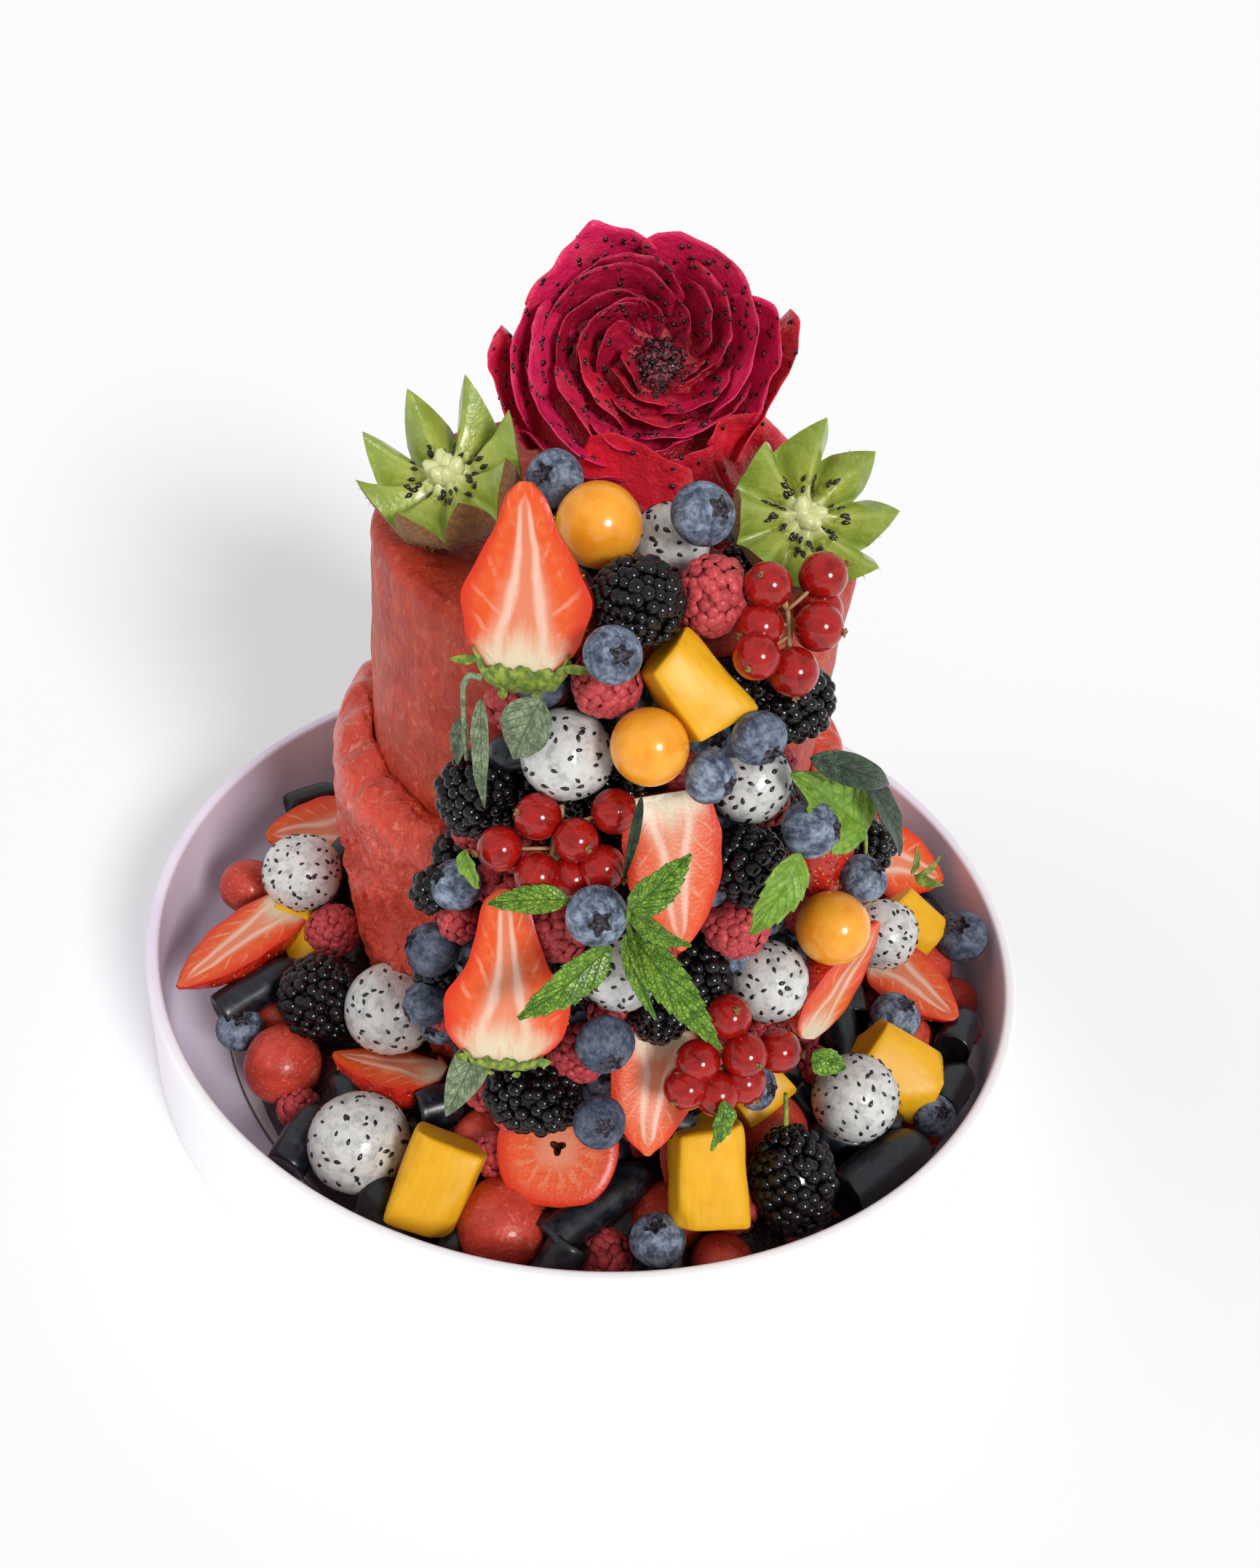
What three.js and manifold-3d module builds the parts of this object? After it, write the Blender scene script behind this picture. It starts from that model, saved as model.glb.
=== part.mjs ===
// A watermelon cake: two stacked tiers of peeled watermelon on a round board, crowned by a rose carved from
// red pitaya and two kiwi crowns, with a cascade of fruit down the front and a bed of cut fruit in a low
// round tray. Millimetres, +Z up, the origin at the centre of the tray's underside, the front towards -Y.
import * as THREE from "three";
import Module from "manifold-3d";
import { mergeVertices } from "three/addons/utils/BufferGeometryUtils.js";

const wasm = await Module();
wasm.setup();

// ---- Driving dimensions ----------------------------------------------------------------------------------
const gap = 0.3; // clearance left between pieces that touch

const trayRadius = 141; // outside
const trayWall = 4;
const trayFloor = 3;
const trayHeight = 41;
const traySegments = 48;

const boardRadius = 126;
const boardThickness = 2.5;
const boardShift = [6, 4]; // the board lies a little right of and behind the tray's centre
const boardTop = trayFloor + gap + boardThickness;

const towerX = -4; // the tiers stand a little left of the tray's centre
const tierSegments = 36;
const lowerBase = boardTop + gap;
const lowerSeat = 112; // height of the face that the upper tier stands on
const lowerLip = 118; // height of the lip round the upper tier
const lowerBaseRadius = 67;
const lowerLipRadius = 78;
const upperRadius = 66;
const upperTop = 186;

const cascadeTilt = 32; // how far a fruit on the cascade looks upwards, degrees

const bedInnerHeight = 50; // top of the fruit bed against the tier
const bedOuterHeight = 33; // top of the fruit bed towards the tray's wall

const roseCentre = [-0.5, 2.8, 228.4];
const roseTilt = 50; // from upright towards the front, degrees
const roseRadius = 37;
const roseDepth = 48; // from the flower's face to the fruit's end

const kiwiRadius = 19;
const kiwiTeeth = 8;

// ---- Colours ---------------------------------------------------------------------------------------------
const finishes = {
  tray: { color: 0xe6e0ea, roughness: 0.55 },
  board: { color: 0xe9e4e2, roughness: 0.6 },
  watermelon: { color: 0xd8564b, roughness: 0.35 },
  pitaya: { color: 0xb8123f, roughness: 0.3 },
  kiwi: { color: 0x9cb83a, roughness: 0.35 },
  blueberry: { color: 0x41557c, roughness: 0.55 },
  physalis: { color: 0xf39a1c, roughness: 0.2 },
  whitePitaya: { color: 0xe4e4e2, roughness: 0.3 },
  bramble: { color: 0x17171c, roughness: 0.2 },
  raspberry: { color: 0xb22c38, roughness: 0.4 },
  strawberry: { color: 0xe8432a, roughness: 0.35 },
  mango: { color: 0xf2b723, roughness: 0.35 },
  currant: { color: 0xa5121a, roughness: 0.12 },
  mixedFruit: { color: 0x8a3a30, roughness: 0.5 },
};
const materials = Object.fromEntries(
  Object.entries(finishes).map(([name, look]) => [
    name,
    new THREE.MeshStandardMaterial({ ...look, metalness: 0 }),
  ]),
);

// ---- Solids ----------------------------------------------------------------------------------------------
const radians = THREE.MathUtils.degToRad;

// A closed three.js geometry as a manifold-3d solid, turned right side out if need be.
function solidOf(geometry) {
  const bare = geometry.clone();
  for (const name of Object.keys(bare.attributes)) if (name !== "position") bare.deleteAttribute(name);
  const merged = mergeVertices(bare, 1e-4);
  const triVerts = new Uint32Array(merged.index.array);
  const build = () =>
    new wasm.Manifold(
      new wasm.Mesh({ numProp: 3, vertProperties: merged.attributes.position.array, triVerts }),
    );
  const made = build();
  if (made.volume() >= 0) return made;
  for (let i = 0; i < triVerts.length; i += 3)
    [triVerts[i + 1], triVerts[i + 2]] = [triVerts[i + 2], triVerts[i + 1]];
  return build();
}

// The vertices and triangles of a solid as a three.js geometry.
function geometryOf(solid) {
  const { numProp, vertProperties, triVerts, numVert } = solid.getMesh();
  const positions = new Float32Array(numVert * 3);
  for (let i = 0; i < numVert; i++)
    positions.set(vertProperties.subarray(i * numProp, i * numProp + 3), i * 3);
  const geometry = new THREE.BufferGeometry();
  geometry.setAttribute("position", new THREE.BufferAttribute(positions, 3));
  geometry.setIndex(new THREE.BufferAttribute(triVerts, 1));
  geometry.computeVertexNormals();
  return geometry;
}

// Rings of points, all with the same count, joined one after the other and closed by a fan at each end.
function loft(rings) {
  const count = rings[0].length;
  const centre = (ring) =>
    ring.reduce((sum, point) => sum.add(point), new THREE.Vector3()).divideScalar(count);
  const points = [...rings.flat(), centre(rings[0]), centre(rings.at(-1))];
  const first = rings.length * count;
  const index = [];
  for (let i = 0; i < count; i++) {
    const j = (i + 1) % count;
    for (let k = 0; k + 1 < rings.length; k++) {
      const [a, b] = [k * count + i, k * count + j];
      index.push(a, b, b + count, a, b + count, a + count);
    }
    const last = (rings.length - 1) * count;
    index.push(j, i, first, last + i, last + j, first + 1);
  }
  const geometry = new THREE.BufferGeometry().setFromPoints(points);
  geometry.setIndex(index);
  return solidOf(geometry);
}

// Rings joined one after the other and the last back to the first, as a closed hoop.
function hoop(rings) {
  const count = rings[0].length;
  const index = [];
  for (let k = 0; k < rings.length; k++) {
    const next = (k + 1) % rings.length;
    for (let i = 0; i < count; i++) {
      const j = (i + 1) % count;
      index.push(k * count + i, k * count + j, next * count + j);
      index.push(k * count + i, next * count + j, next * count + i);
    }
  }
  const geometry = new THREE.BufferGeometry().setFromPoints(rings.flat());
  geometry.setIndex(index);
  return solidOf(geometry);
}

// A ring of points round +Z, from a function of the angle that gives [radius, height].
function ringAround(segments, at) {
  return Array.from({ length: segments }, (_, i) => {
    const angle = (i / segments) * 2 * Math.PI;
    const [radius, height] = at(angle);
    return new THREE.Vector3(radius * Math.cos(angle), radius * Math.sin(angle), height);
  });
}

// A profile of [radius, height] points turned round +Z.
function turned(profile, segments) {
  const points = profile.map(([radius, height]) => new THREE.Vector2(radius, height));
  return solidOf(new THREE.LatheGeometry(points, segments).rotateX(Math.PI / 2));
}

// A ball whose skin is moved in or out by a function of the direction.
function ball(radius, detail, skin = () => 1) {
  const geometry = new THREE.IcosahedronGeometry(1, detail);
  const position = geometry.getAttribute("position");
  const direction = new THREE.Vector3();
  for (let i = 0; i < position.count; i++) {
    direction.fromBufferAttribute(position, i).normalize();
    direction.multiplyScalar(radius * skin(direction));
    position.setXYZ(i, direction.x, direction.y, direction.z);
  }
  return solidOf(geometry);
}

// ---- Fruit, each centred on its own origin: its tip towards +Y and its shown side towards +Z -------------
const blueberry = (radius) => ball(radius, 1, (way) => (way.z > 0.95 ? 0.82 : 1));
const physalis = (radius) => ball(radius, 1);
const scoopedBall = (radius) => ball(radius, 1, (way) => (way.z < -0.8 ? 0.9 : 1));

// Bumps of a berry made of drupelets, as a share of its radius.
const drupelets = (way) => 0.06 * Math.cos(9 * Math.atan2(way.x, way.z)) * Math.cos(6 * way.y);

function bramble(radius, stretch = 1.15) {
  return ball(radius, 1, (way) => 1 + drupelets(way)).scale([1, stretch, 1]);
}

function raspberry(radius, stretch = 1.15) {
  return ball(radius, 1, (way) => 1 - 0.14 * way.y + drupelets(way)).scale([1, stretch, 1]);
}

// Half-width of a strawberry as a share of its widest, from its shoulder at 0 to its tip at 1.
const strawberryWidth = (t) => Math.sin(Math.PI * t ** 0.6) ** 0.75;

// A strawberry from its shoulder to its tip: cut in half lengthways, or whole.
function strawberry(length, width, depth, whole = false) {
  const rings = [0.03, 0.14, 0.33, 0.55, 0.77, 0.92, 0.99].map((t) => {
    const half = (width / 2) * strawberryWidth(t);
    const back = depth * strawberryWidth(t);
    const steps = whole ? 10 : 7;
    return Array.from({ length: steps }, (_, i) => {
      const turn = whole ? (i / steps) * 2 * Math.PI : (i / (steps - 1)) * Math.PI;
      const away = whole ? (-depth / 2) * strawberryWidth(t) * Math.sin(turn) : -back * Math.sin(turn);
      return new THREE.Vector3(half * Math.cos(turn), length * (t - 0.5), away);
    });
  });
  return loft(rings);
}

// A chunk of mango: a block with its long edges cut off.
function mangoChunk(width, length, depth) {
  const chamfer = 0.22;
  const outline = new THREE.Shape();
  const [w, d] = [width / 2, depth / 2];
  outline.moveTo(-w, -d);
  outline.lineTo(w, -d);
  outline.lineTo(w, d * (1 - 2 * chamfer));
  outline.lineTo(w * (1 - 2 * chamfer), d);
  outline.lineTo(-w * (1 - chamfer), d);
  outline.lineTo(-w, d * (1 - chamfer));
  const block = new THREE.ExtrudeGeometry(outline, { depth: length, bevelEnabled: false });
  block.translate(0, 0, -length / 2).rotateX(Math.PI / 2);
  return solidOf(block);
}

// A sprig of currants: berries at places on its face, each held by a short stalk from the sprig's stem.
function currantSprig(radius, berries) {
  const stalkRadius = 0.9;
  const stemRadius = 1.2;
  const stemLength = 20;
  const stemDepth = -2;
  const stem = new THREE.CylinderGeometry(stemRadius, stemRadius, stemLength, 4);
  const parts = [stem.translate(0, 0, stemDepth)];
  for (const [x, y, z = 0] of berries) {
    const foot = new THREE.Vector3(0, y * 0.4, stemDepth);
    const reach = new THREE.Vector3(x, y, z).sub(foot);
    const stalk = new THREE.CylinderGeometry(stalkRadius, stalkRadius, reach.length(), 3);
    const along = reach.clone().normalize();
    const lean = new THREE.Quaternion().setFromUnitVectors(THREE.Object3D.DEFAULT_UP, along);
    stalk.translate(0, reach.length() / 2, 0).applyQuaternion(lean);
    parts.push(stalk.translate(foot.x, foot.y, foot.z));
    parts.push(new THREE.SphereGeometry(radius, 8, 5).rotateX(Math.PI / 2).translate(x, y, z));
  }
  return parts.map(solidOf);
}

// A kiwi half cut zigzag into a crown: the cut runs straight from each tooth and each notch to the core.
function kiwiCrown(radius, depth, teeth, rise) {
  const segments = teeth * 2;
  const wave = (angle) => 1 - 4 * Math.abs((((angle * teeth) / (2 * Math.PI)) % 1) - 0.5);
  const rim = (angle) => [radius * (1 + 0.12 * Math.max(0, wave(angle))), rise * wave(angle)];
  const skin = [0.15, 0.4, 0.65, 0.85, 1].map((share) =>
    ringAround(segments, (angle) => {
      const [out, up] = rim(angle);
      const turn = (share * Math.PI) / 2;
      return [out * Math.sin(turn), up - (up + depth) * Math.cos(turn)];
    }),
  );
  const cut = [0.5, 0.12].map((share) =>
    ringAround(segments, (angle) => [radius * share, rise * wave(angle) * share]),
  );
  return loft([...skin, ...cut]);
}

// What a kiwi crown fills, its notches included.
function kiwiOutline(radius, depth, rise) {
  const [shoulder, widest] = [radius * 0.7, radius * 1.12];
  return turned([[0, -depth], [shoulder, -depth * 0.7], [radius, -rise], [widest, rise], [0, rise]], 20);
}

// The pitaya rose: a bowl of flesh carved into whorls of petals, from the outside to the bud. Each whorl is a
// scalloped edge with a groove inside it.
function rose() {
  const segments = 30;
  const bowl = [0.2, 0.5, 0.75, 0.95].map((share) =>
    ringAround(segments, () => [roseRadius * 0.93 * share, -roseDepth * Math.sqrt(1 - share ** 2)]),
  );
  const whorls = [
    { petals: 6, edge: [roseRadius, 8], groove: [31, -5] },
    { petals: 5, edge: [29, 8], groove: [23, -5] },
    { petals: 5, edge: [21.5, 6], groove: [16, -6] },
    { petals: 4, edge: [14.5, 3], groove: [9.5, -6] },
    { petals: 3, edge: [8, 1], groove: [3, -3] },
  ];
  const carved = whorls.flatMap(({ petals, edge, groove }, whorl) =>
    [edge, groove].map(([radius, height]) =>
      ringAround(segments, (angle) => {
        const scallop = Math.abs(Math.cos((petals * angle) / 2 + whorl));
        return [radius * (0.93 + 0.1 * scallop), height + 3 * (scallop - 0.6)];
      }),
    ),
  );
  return loft([...bowl, ...carved]);
}

// What the rose fills, its grooves included.
function roseOutline() {
  const end = [0, 0.5, 0.75].map((share) => [roseRadius * share, -roseDepth * Math.sqrt(1 - share ** 2)]);
  return turned([...end, [roseRadius + 2, 4], [roseRadius + 1, 10], [0, 10]], 24);
}

// ---- Tray, board and tiers -------------------------------------------------------------------------------
function tray() {
  const inside = trayRadius - trayWall;
  const profile = [
    [0, 0],
    [trayRadius, 0],
    [trayRadius, trayHeight],
    [inside, trayHeight],
    [inside, trayFloor],
    [0, trayFloor],
  ];
  return turned(profile, traySegments);
}

function board() {
  const disc = new THREE.CylinderGeometry(boardRadius, boardRadius, boardThickness, traySegments);
  disc.rotateX(Math.PI / 2).translate(...boardShift, boardTop - boardThickness / 2);
  return solidOf(disc);
}

// Unevenness of a hand-cut wall, as a share of its radius.
const handCut = (angle, height) =>
  1 + 0.008 * Math.sin(3 * angle + 0.04 * height) + 0.006 * Math.sin(7 * angle - 0.05 * height);

// Radius of the lower tier's wall at a height: it widens from its foot to its lip.
function lowerRadius(height) {
  const rise = (height - lowerBase) / (lowerSeat - lowerBase);
  return lowerBaseRadius + (lowerLipRadius - lowerBaseRadius) * Math.sin(Math.min(1, rise) * Math.PI * 0.5);
}

// The lower tier, with the seat sunk into its top, or filled up to its lip as other pieces meet it.
function lowerTier(seated = true) {
  const levels = [lowerBase, 30, 60, 90, lowerSeat - 3];
  const walls = levels.map((height) =>
    ringAround(tierSegments, (angle) => [lowerRadius(height) * handCut(angle, height) - 0.6, height]),
  );
  const lip = (angle) => lowerLip + 3 * Math.cos(angle - Math.PI * 0.9); // highest at the left
  const shoulder = ringAround(tierSegments, (angle) => [lowerLipRadius - 3, lip(angle) - 1.5]);
  const crest = ringAround(tierSegments, (angle) => [upperRadius + 5, lip(angle)]);
  const seat = ringAround(tierSegments, () => [upperRadius + 2, lowerSeat]);
  return loft([...walls, shoulder, crest, ...(seated ? [seat] : [])]).translate([towerX, 0, 0]);
}

function upperTier() {
  const wall = (height, inset = 0) =>
    ringAround(tierSegments, (angle) => [(upperRadius - inset) * handCut(angle, height), height]);
  const walls = [lowerSeat + gap, 140, 165, upperTop - 4].map((height) => wall(height));
  return loft([...walls, wall(upperTop, 3.5)]).translate([towerX, 0, 0]);
}

// ---- Where the fruit lies --------------------------------------------------------------------------------
// A place on the cake: degrees round the tower from the front towards the right, height, and distance from
// the tower's axis. The fruit's shown side looks outwards and up by the tilt, and spin turns it in that face.
function placeOf(angle, height, distance, spin = 0, tilt = cascadeTilt) {
  const [a, t] = [radians(angle), radians(tilt)];
  const out = new THREE.Vector3(Math.sin(a) * Math.cos(t), -Math.cos(a) * Math.cos(t), Math.sin(t));
  const up = new THREE.Vector3(-Math.sin(a) * Math.sin(t), Math.cos(a) * Math.sin(t), Math.cos(t));
  const right = new THREE.Vector3().crossVectors(up, out);
  const matrix = new THREE.Matrix4().makeBasis(right, up, out);
  matrix.multiply(new THREE.Matrix4().makeRotationZ(radians(spin)));
  return matrix.setPosition(towerX + distance * Math.sin(a), -distance * Math.cos(a), height);
}

const sprigs = {
  currants_1: [[-5, 11], [11, 10], [5, -1, 3], [-8, 2, -2], [-13, -4, 2], [-3, -10, 1], [10, 2, -3]],
  currants_2: [[-5, 6], [-13, -3], [5, 2, 2], [13, 10], [-3, -8, 1], [12, -4], [5, -8, -2]],
  currants_3: [[0, 10], [2, 0, 3], [-10, 0], [13, -2], [-14, -6], [-6, -9, 1], [2, -8]],
};

// The cascade, outermost fruit first: name, solid, finish, then angle, height, distance, spin and tilt.
const cascade = [
  ["physalis_1", physalis(10.4), "physalis", -4, 211, 50],
  ["blueberry_1", blueberry(7.3), "blueberry", -27, 212, 35],
  ["blueberry_2", blueberry(7.7), "blueberry", 22, 217, 55],
  ["strawberry_1", strawberry(48, 31, 14), "strawberry", -13, 205, 77, 0, 22],
  ["blueberry_3", blueberry(6.8), "blueberry", 2, 199, 87],
  ["bramble_1", bramble(11, 1.12), "bramble", 6, 202, 70, 30],
  ["currants_1", currantSprig(6, sprigs.currants_1), "currant", 35, 197, 79, 0],
  ["raspberry_1", raspberry(9.2, 1.2), "raspberry", 22, 200, 67, 175],
  ["pitaya_ball_1", scoopedBall(9.8), "whitePitaya", 20, 202, 42],
  ["bramble_2", bramble(7.5), "bramble", -9, 199, 46],
  ["blueberry_4", blueberry(6.8), "blueberry", 25, 178, 92],
  ["blueberry_5", blueberry(6.5), "blueberry", 18, 169, 93],
  ["physalis_2", physalis(9.3), "physalis", 9, 175, 88],
  ["mango_1", mangoChunk(17, 23, 14), "mango", 18, 184, 79, 35],
  ["raspberry_2", raspberry(9, 1.05), "raspberry", 2, 182, 76, 200],
  ["bramble_3", bramble(10, 1.18), "bramble", 37, 176, 80, 75],
  ["pitaya_ball_2", scoopedBall(11.4), "whitePitaya", -4, 164, 79],
  ["pitaya_ball_3", scoopedBall(10.8), "whitePitaya", 31, 153, 79],
  ["currants_2", currantSprig(5.8, sprigs.currants_2), "currant", -4, 147, 93, 0],
  ["bramble_4", bramble(11, 1.12), "bramble", -20, 145, 80, 20],
  ["blueberry_6", blueberry(7.5), "blueberry", 36, 148, 96],
  ["strawberry_2", strawberry(40, 25, 12), "strawberry", 15, 140, 93, 186, 30],
  ["bramble_5", bramble(9.6, 1.28), "bramble", 28, 136, 91, 185],
  ["blueberry_7", blueberry(6.8), "blueberry", 52, 118, 97],
  ["strawberry_3", strawberry(30, 20, 20, true), "strawberry", 50, 120, 84, 150],
  ["bramble_6", bramble(8, 1.1), "bramble", 63, 114, 90, 0],
  ["physalis_3", physalis(10), "physalis", 43, 112, 101],
  ["blueberry_8", blueberry(7.5), "blueberry", 3, 139, 108],
  ["raspberry_3", raspberry(9.6, 1.1), "raspberry", 27, 115, 91, 130],
  ["strawberry_4", strawberry(47, 33, 13), "strawberry", -8, 108, 104, 5, 30],
  ["raspberry_4", raspberry(8.8, 1.2), "raspberry", -2, 114, 89, 170],
  ["blueberry_9", blueberry(6.9), "blueberry", -21, 119, 86],
  ["blueberry_10", blueberry(7.4), "blueberry", -24, 97, 90],
  ["blueberry_11", blueberry(6.4), "blueberry", -24, 79, 93],
  ["pitaya_ball_4", scoopedBall(10.2), "whitePitaya", 8, 108, 95],
  ["bramble_7", bramble(9, 1.1), "bramble", 21, 103, 94, 60],
  ["bramble_8", bramble(8.6, 1.1), "bramble", 15, 93, 96, 30],
  ["pitaya_ball_5", scoopedBall(10.9), "whitePitaya", 33, 98, 98],
  ["strawberry_5", strawberry(38, 25, 11), "strawberry", 45, 90, 104, -38, 5],
  ["blueberry_12", blueberry(7.5), "blueberry", 6, 96, 109],
  ["currants_3", currantSprig(6, sprigs.currants_3), "currant", 24, 91, 112, 0],
  ["strawberry_6", strawberry(33, 24, 11), "strawberry", 14, 75, 107, 172, 35],
  ["raspberry_5", raspberry(9, 1.1), "raspberry", 3, 78, 97, 200],
  ["bramble_9", bramble(10.4, 1.45), "bramble", -3, 70, 106, 88],
  ["blueberry_13", blueberry(7), "blueberry", 6, 74, 116],
];

// ---- The heaps -------------------------------------------------------------------------------------------
// Loose fruit tucked in behind the cascade, against the front of both tiers.
function tuckedFruit() {
  const columns = 8;
  const [leftEdge, rightEdge] = [-32, 60];
  const levels = [
    { height: 50, reach: 102 },
    { height: 74, reach: 95 },
    { height: 96, reach: 90 },
    { height: 112, reach: 85 },
    { height: 124, reach: 79, tier: upperRadius },
    { height: 145, reach: 73, tier: upperRadius },
    { height: upperTop - 2, reach: 71, tier: upperRadius },
  ];
  const rings = levels.map(({ height, reach, tier = lowerLipRadius }) => {
    const back = tier + 2 * gap;
    const at = (i, distance) => {
      const angle = radians(leftEdge + ((rightEdge - leftEdge) * i) / (columns - 1));
      return new THREE.Vector3(towerX + distance * Math.sin(angle), -distance * Math.cos(angle), height);
    };
    const front = (i) => {
      const side = (2 * i) / (columns - 1) - 1;
      return back + 1 + (reach + 1.5 * Math.sin(5 * i + height) - back) * (1 - side ** 4);
    };
    const outer = Array.from({ length: columns }, (_, i) => at(i, front(i)));
    const inner = Array.from({ length: columns }, (_, i) => at(columns - 1 - i, back));
    return [...outer, ...inner];
  });
  return loft(rings);
}

// The mound of fruit on the upper tier, in front of the rose.
function topMound() {
  const [radius, height] = [27, 13];
  const rings = [1, 0.8, 0.45].map((share) =>
    ringAround(16, (angle) => [
      radius * share * (1 + 0.06 * Math.sin(5 * angle)),
      height * Math.sqrt(1 - share ** 2),
    ]),
  );
  return loft(rings).translate([towerX + 8, -35, upperTop + gap]);
}

// The fruit bed: a ring between the lower tier and the tray's wall, with an uneven top. It keeps clear of
// the wall at the left, where the board and the tray's floor show.
function fruitBed() {
  const segments = 40;
  const clearSide = Math.PI * 1.03;
  const edge = (angle) =>
    134 - 17 * Math.max(0, Math.cos(angle - clearSide)) ** 1.5 + 1.2 * Math.sin(9 * angle);
  // A ring at a share of the way out from the tier to the bed's edge.
  const ring = (share, height, lump = 0, phase = 0) =>
    Array.from({ length: segments }, (_, i) => {
      const angle = (i / segments) * 2 * Math.PI;
      const near = lowerRadius(height) + 1;
      const radius = near + (edge(angle) - near) * share;
      const bump = lump * (Math.sin(8 * angle + phase) + 0.7 * Math.sin(13 * angle - phase));
      return new THREE.Vector3(
        towerX * (1 - share) + radius * Math.cos(angle),
        radius * Math.sin(angle),
        height + bump,
      );
    });
  const foot = boardTop + gap;
  return hoop([
    ring(0, foot),
    ring(0, bedInnerHeight - 6),
    ring(0.14, bedInnerHeight, 2.2),
    ring(0.45, (bedInnerHeight + bedOuterHeight) / 2 + 3, 2.2, 1),
    ring(0.8, bedOuterHeight + 2, 2.2, 2),
    ring(1, bedOuterHeight - 8, 1.2, 3),
    ring(0.96, foot),
  ]);
}

// ---- Putting it together ---------------------------------------------------------------------------------
const cake = new THREE.Group();
cake.name = "watermelon_cake";
const placed = []; // what is already there: its solid in the cake's frame, grown by the gap

// Grows a solid by the gap, each part of it that was joined to the others about its own middle.
function grown(solid) {
  const { min, max } = solid.boundingBox();
  const middle = min.map((low, i) => (low + max[i]) / 2);
  const scale = min.map((low, i) => (max[i] - low + 2 * gap) / (max[i] - low));
  return solid
    .translate(middle.map((x) => -x))
    .scale(scale)
    .translate(middle);
}

function apart(a, b) {
  return [0, 1, 2].some((i) => a.min[i] > b.max[i] || b.min[i] > a.max[i]);
}

// Adds a piece at a place, its parts joined, cut back from every piece that is there before it. What comes
// after it keeps out of its outline.
function add(name, parts, finish, matrix = new THREE.Matrix4(), outline = parts) {
  const whole = parts.reduce((sum, part) => sum.add(part)).transform(matrix.elements);
  const cut = placed
    .filter((other) => !apart(whole.boundingBox(), other.boundingBox()))
    .reduce((rest, other) => rest.subtract(other), whole);
  const largest = cut.decompose().reduce((best, part) => (part.volume() > best.volume() ? part : best));
  const own = largest.transform(matrix.clone().invert().elements);
  const mesh = new THREE.Mesh(geometryOf(own), materials[finish]);
  mesh.name = name;
  mesh.position.setFromMatrixPosition(matrix);
  mesh.quaternion.setFromRotationMatrix(matrix);
  cake.add(mesh);
  placed.push(...outline.map((part) => grown(part.transform(matrix.elements))));
}

add("tray", [tray()], "tray", undefined, []); // hollow: what stands in it is drawn clear of its wall
add("board", [board()], "board");
add("lower_tier", [lowerTier()], "watermelon", undefined, []); // the upper tier stands inside its lip
add("upper_tier", [upperTier()], "watermelon");
placed.push(grown(lowerTier(false)));

add("tucked_fruit", [tuckedFruit()], "mixedFruit");
add("top_mound", [topMound()], "mixedFruit");

const roseMatrix = new THREE.Matrix4().makeRotationX(radians(roseTilt)).setPosition(...roseCentre);
add("pitaya_rose", [rose()], "pitaya", roseMatrix, [rose(), roseOutline()]);

const kiwis = [
  { name: "kiwi_left", depth: 17, rise: 9, turn: [16, -18], at: [-48, -22, 205] },
  { name: "kiwi_right", depth: 15, rise: 8, turn: [42, 18], at: [43.5, -27, 207] },
];
for (const { name, depth, rise, turn, at } of kiwis) {
  const facing = new THREE.Euler(...turn.map(radians), 0);
  const matrix = new THREE.Matrix4().makeRotationFromEuler(facing).setPosition(...at);
  const crown = kiwiCrown(kiwiRadius, depth, kiwiTeeth, rise);
  add(name, [crown], "kiwi", matrix, [kiwiOutline(kiwiRadius, depth, rise)]);
}

for (const [name, parts, finish, ...place] of cascade) add(name, [parts].flat(), finish, placeOf(...place));

add("fruit_bed", [fruitBed()], "mixedFruit");

export default cake;
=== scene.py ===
"""A cake of two hand-cut watermelon tiers in a round tray, with a red pitaya rose and a cascade of fruit.

Each fruit is made in millimetres in its own frame, its tip towards +Y and its shown side towards +Z, and is
then set where the CAD part has it.
"""

import functools
import math
import zlib

import bpy
import numpy as np
from mathutils import Matrix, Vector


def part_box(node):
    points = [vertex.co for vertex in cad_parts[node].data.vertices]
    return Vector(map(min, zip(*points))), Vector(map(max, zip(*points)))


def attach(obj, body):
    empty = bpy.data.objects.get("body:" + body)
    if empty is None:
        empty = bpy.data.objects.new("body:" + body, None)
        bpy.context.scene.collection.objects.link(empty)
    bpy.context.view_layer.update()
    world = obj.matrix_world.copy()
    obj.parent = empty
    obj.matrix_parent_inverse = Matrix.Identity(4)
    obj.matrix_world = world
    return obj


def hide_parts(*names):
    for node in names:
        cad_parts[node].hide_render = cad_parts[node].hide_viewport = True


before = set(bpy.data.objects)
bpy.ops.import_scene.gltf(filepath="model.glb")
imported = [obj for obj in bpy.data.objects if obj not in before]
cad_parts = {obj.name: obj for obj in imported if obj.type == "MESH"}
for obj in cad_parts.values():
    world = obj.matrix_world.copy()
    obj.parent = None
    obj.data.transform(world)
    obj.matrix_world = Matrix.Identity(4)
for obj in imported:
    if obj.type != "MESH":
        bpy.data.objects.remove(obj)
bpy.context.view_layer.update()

MM = 0.001
TAU = 2 * math.pi
GOLDEN = math.pi * (3 - math.sqrt(5))
# How far a fruit's grain is shifted for each whole number of its tone, in millimetres.
GRAIN_SHIFT = np.array([37.0, 91.0, 53.0])


def dice(*key):
    """A random source of its own for each thing that is named."""
    return np.random.default_rng([zlib.crc32(str(word).encode()) for word in key])


# ---- Directions and places
def unit(vector):
    vector = np.asarray(vector, float)
    return vector / np.linalg.norm(vector, axis=-1, keepdims=True)


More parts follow.
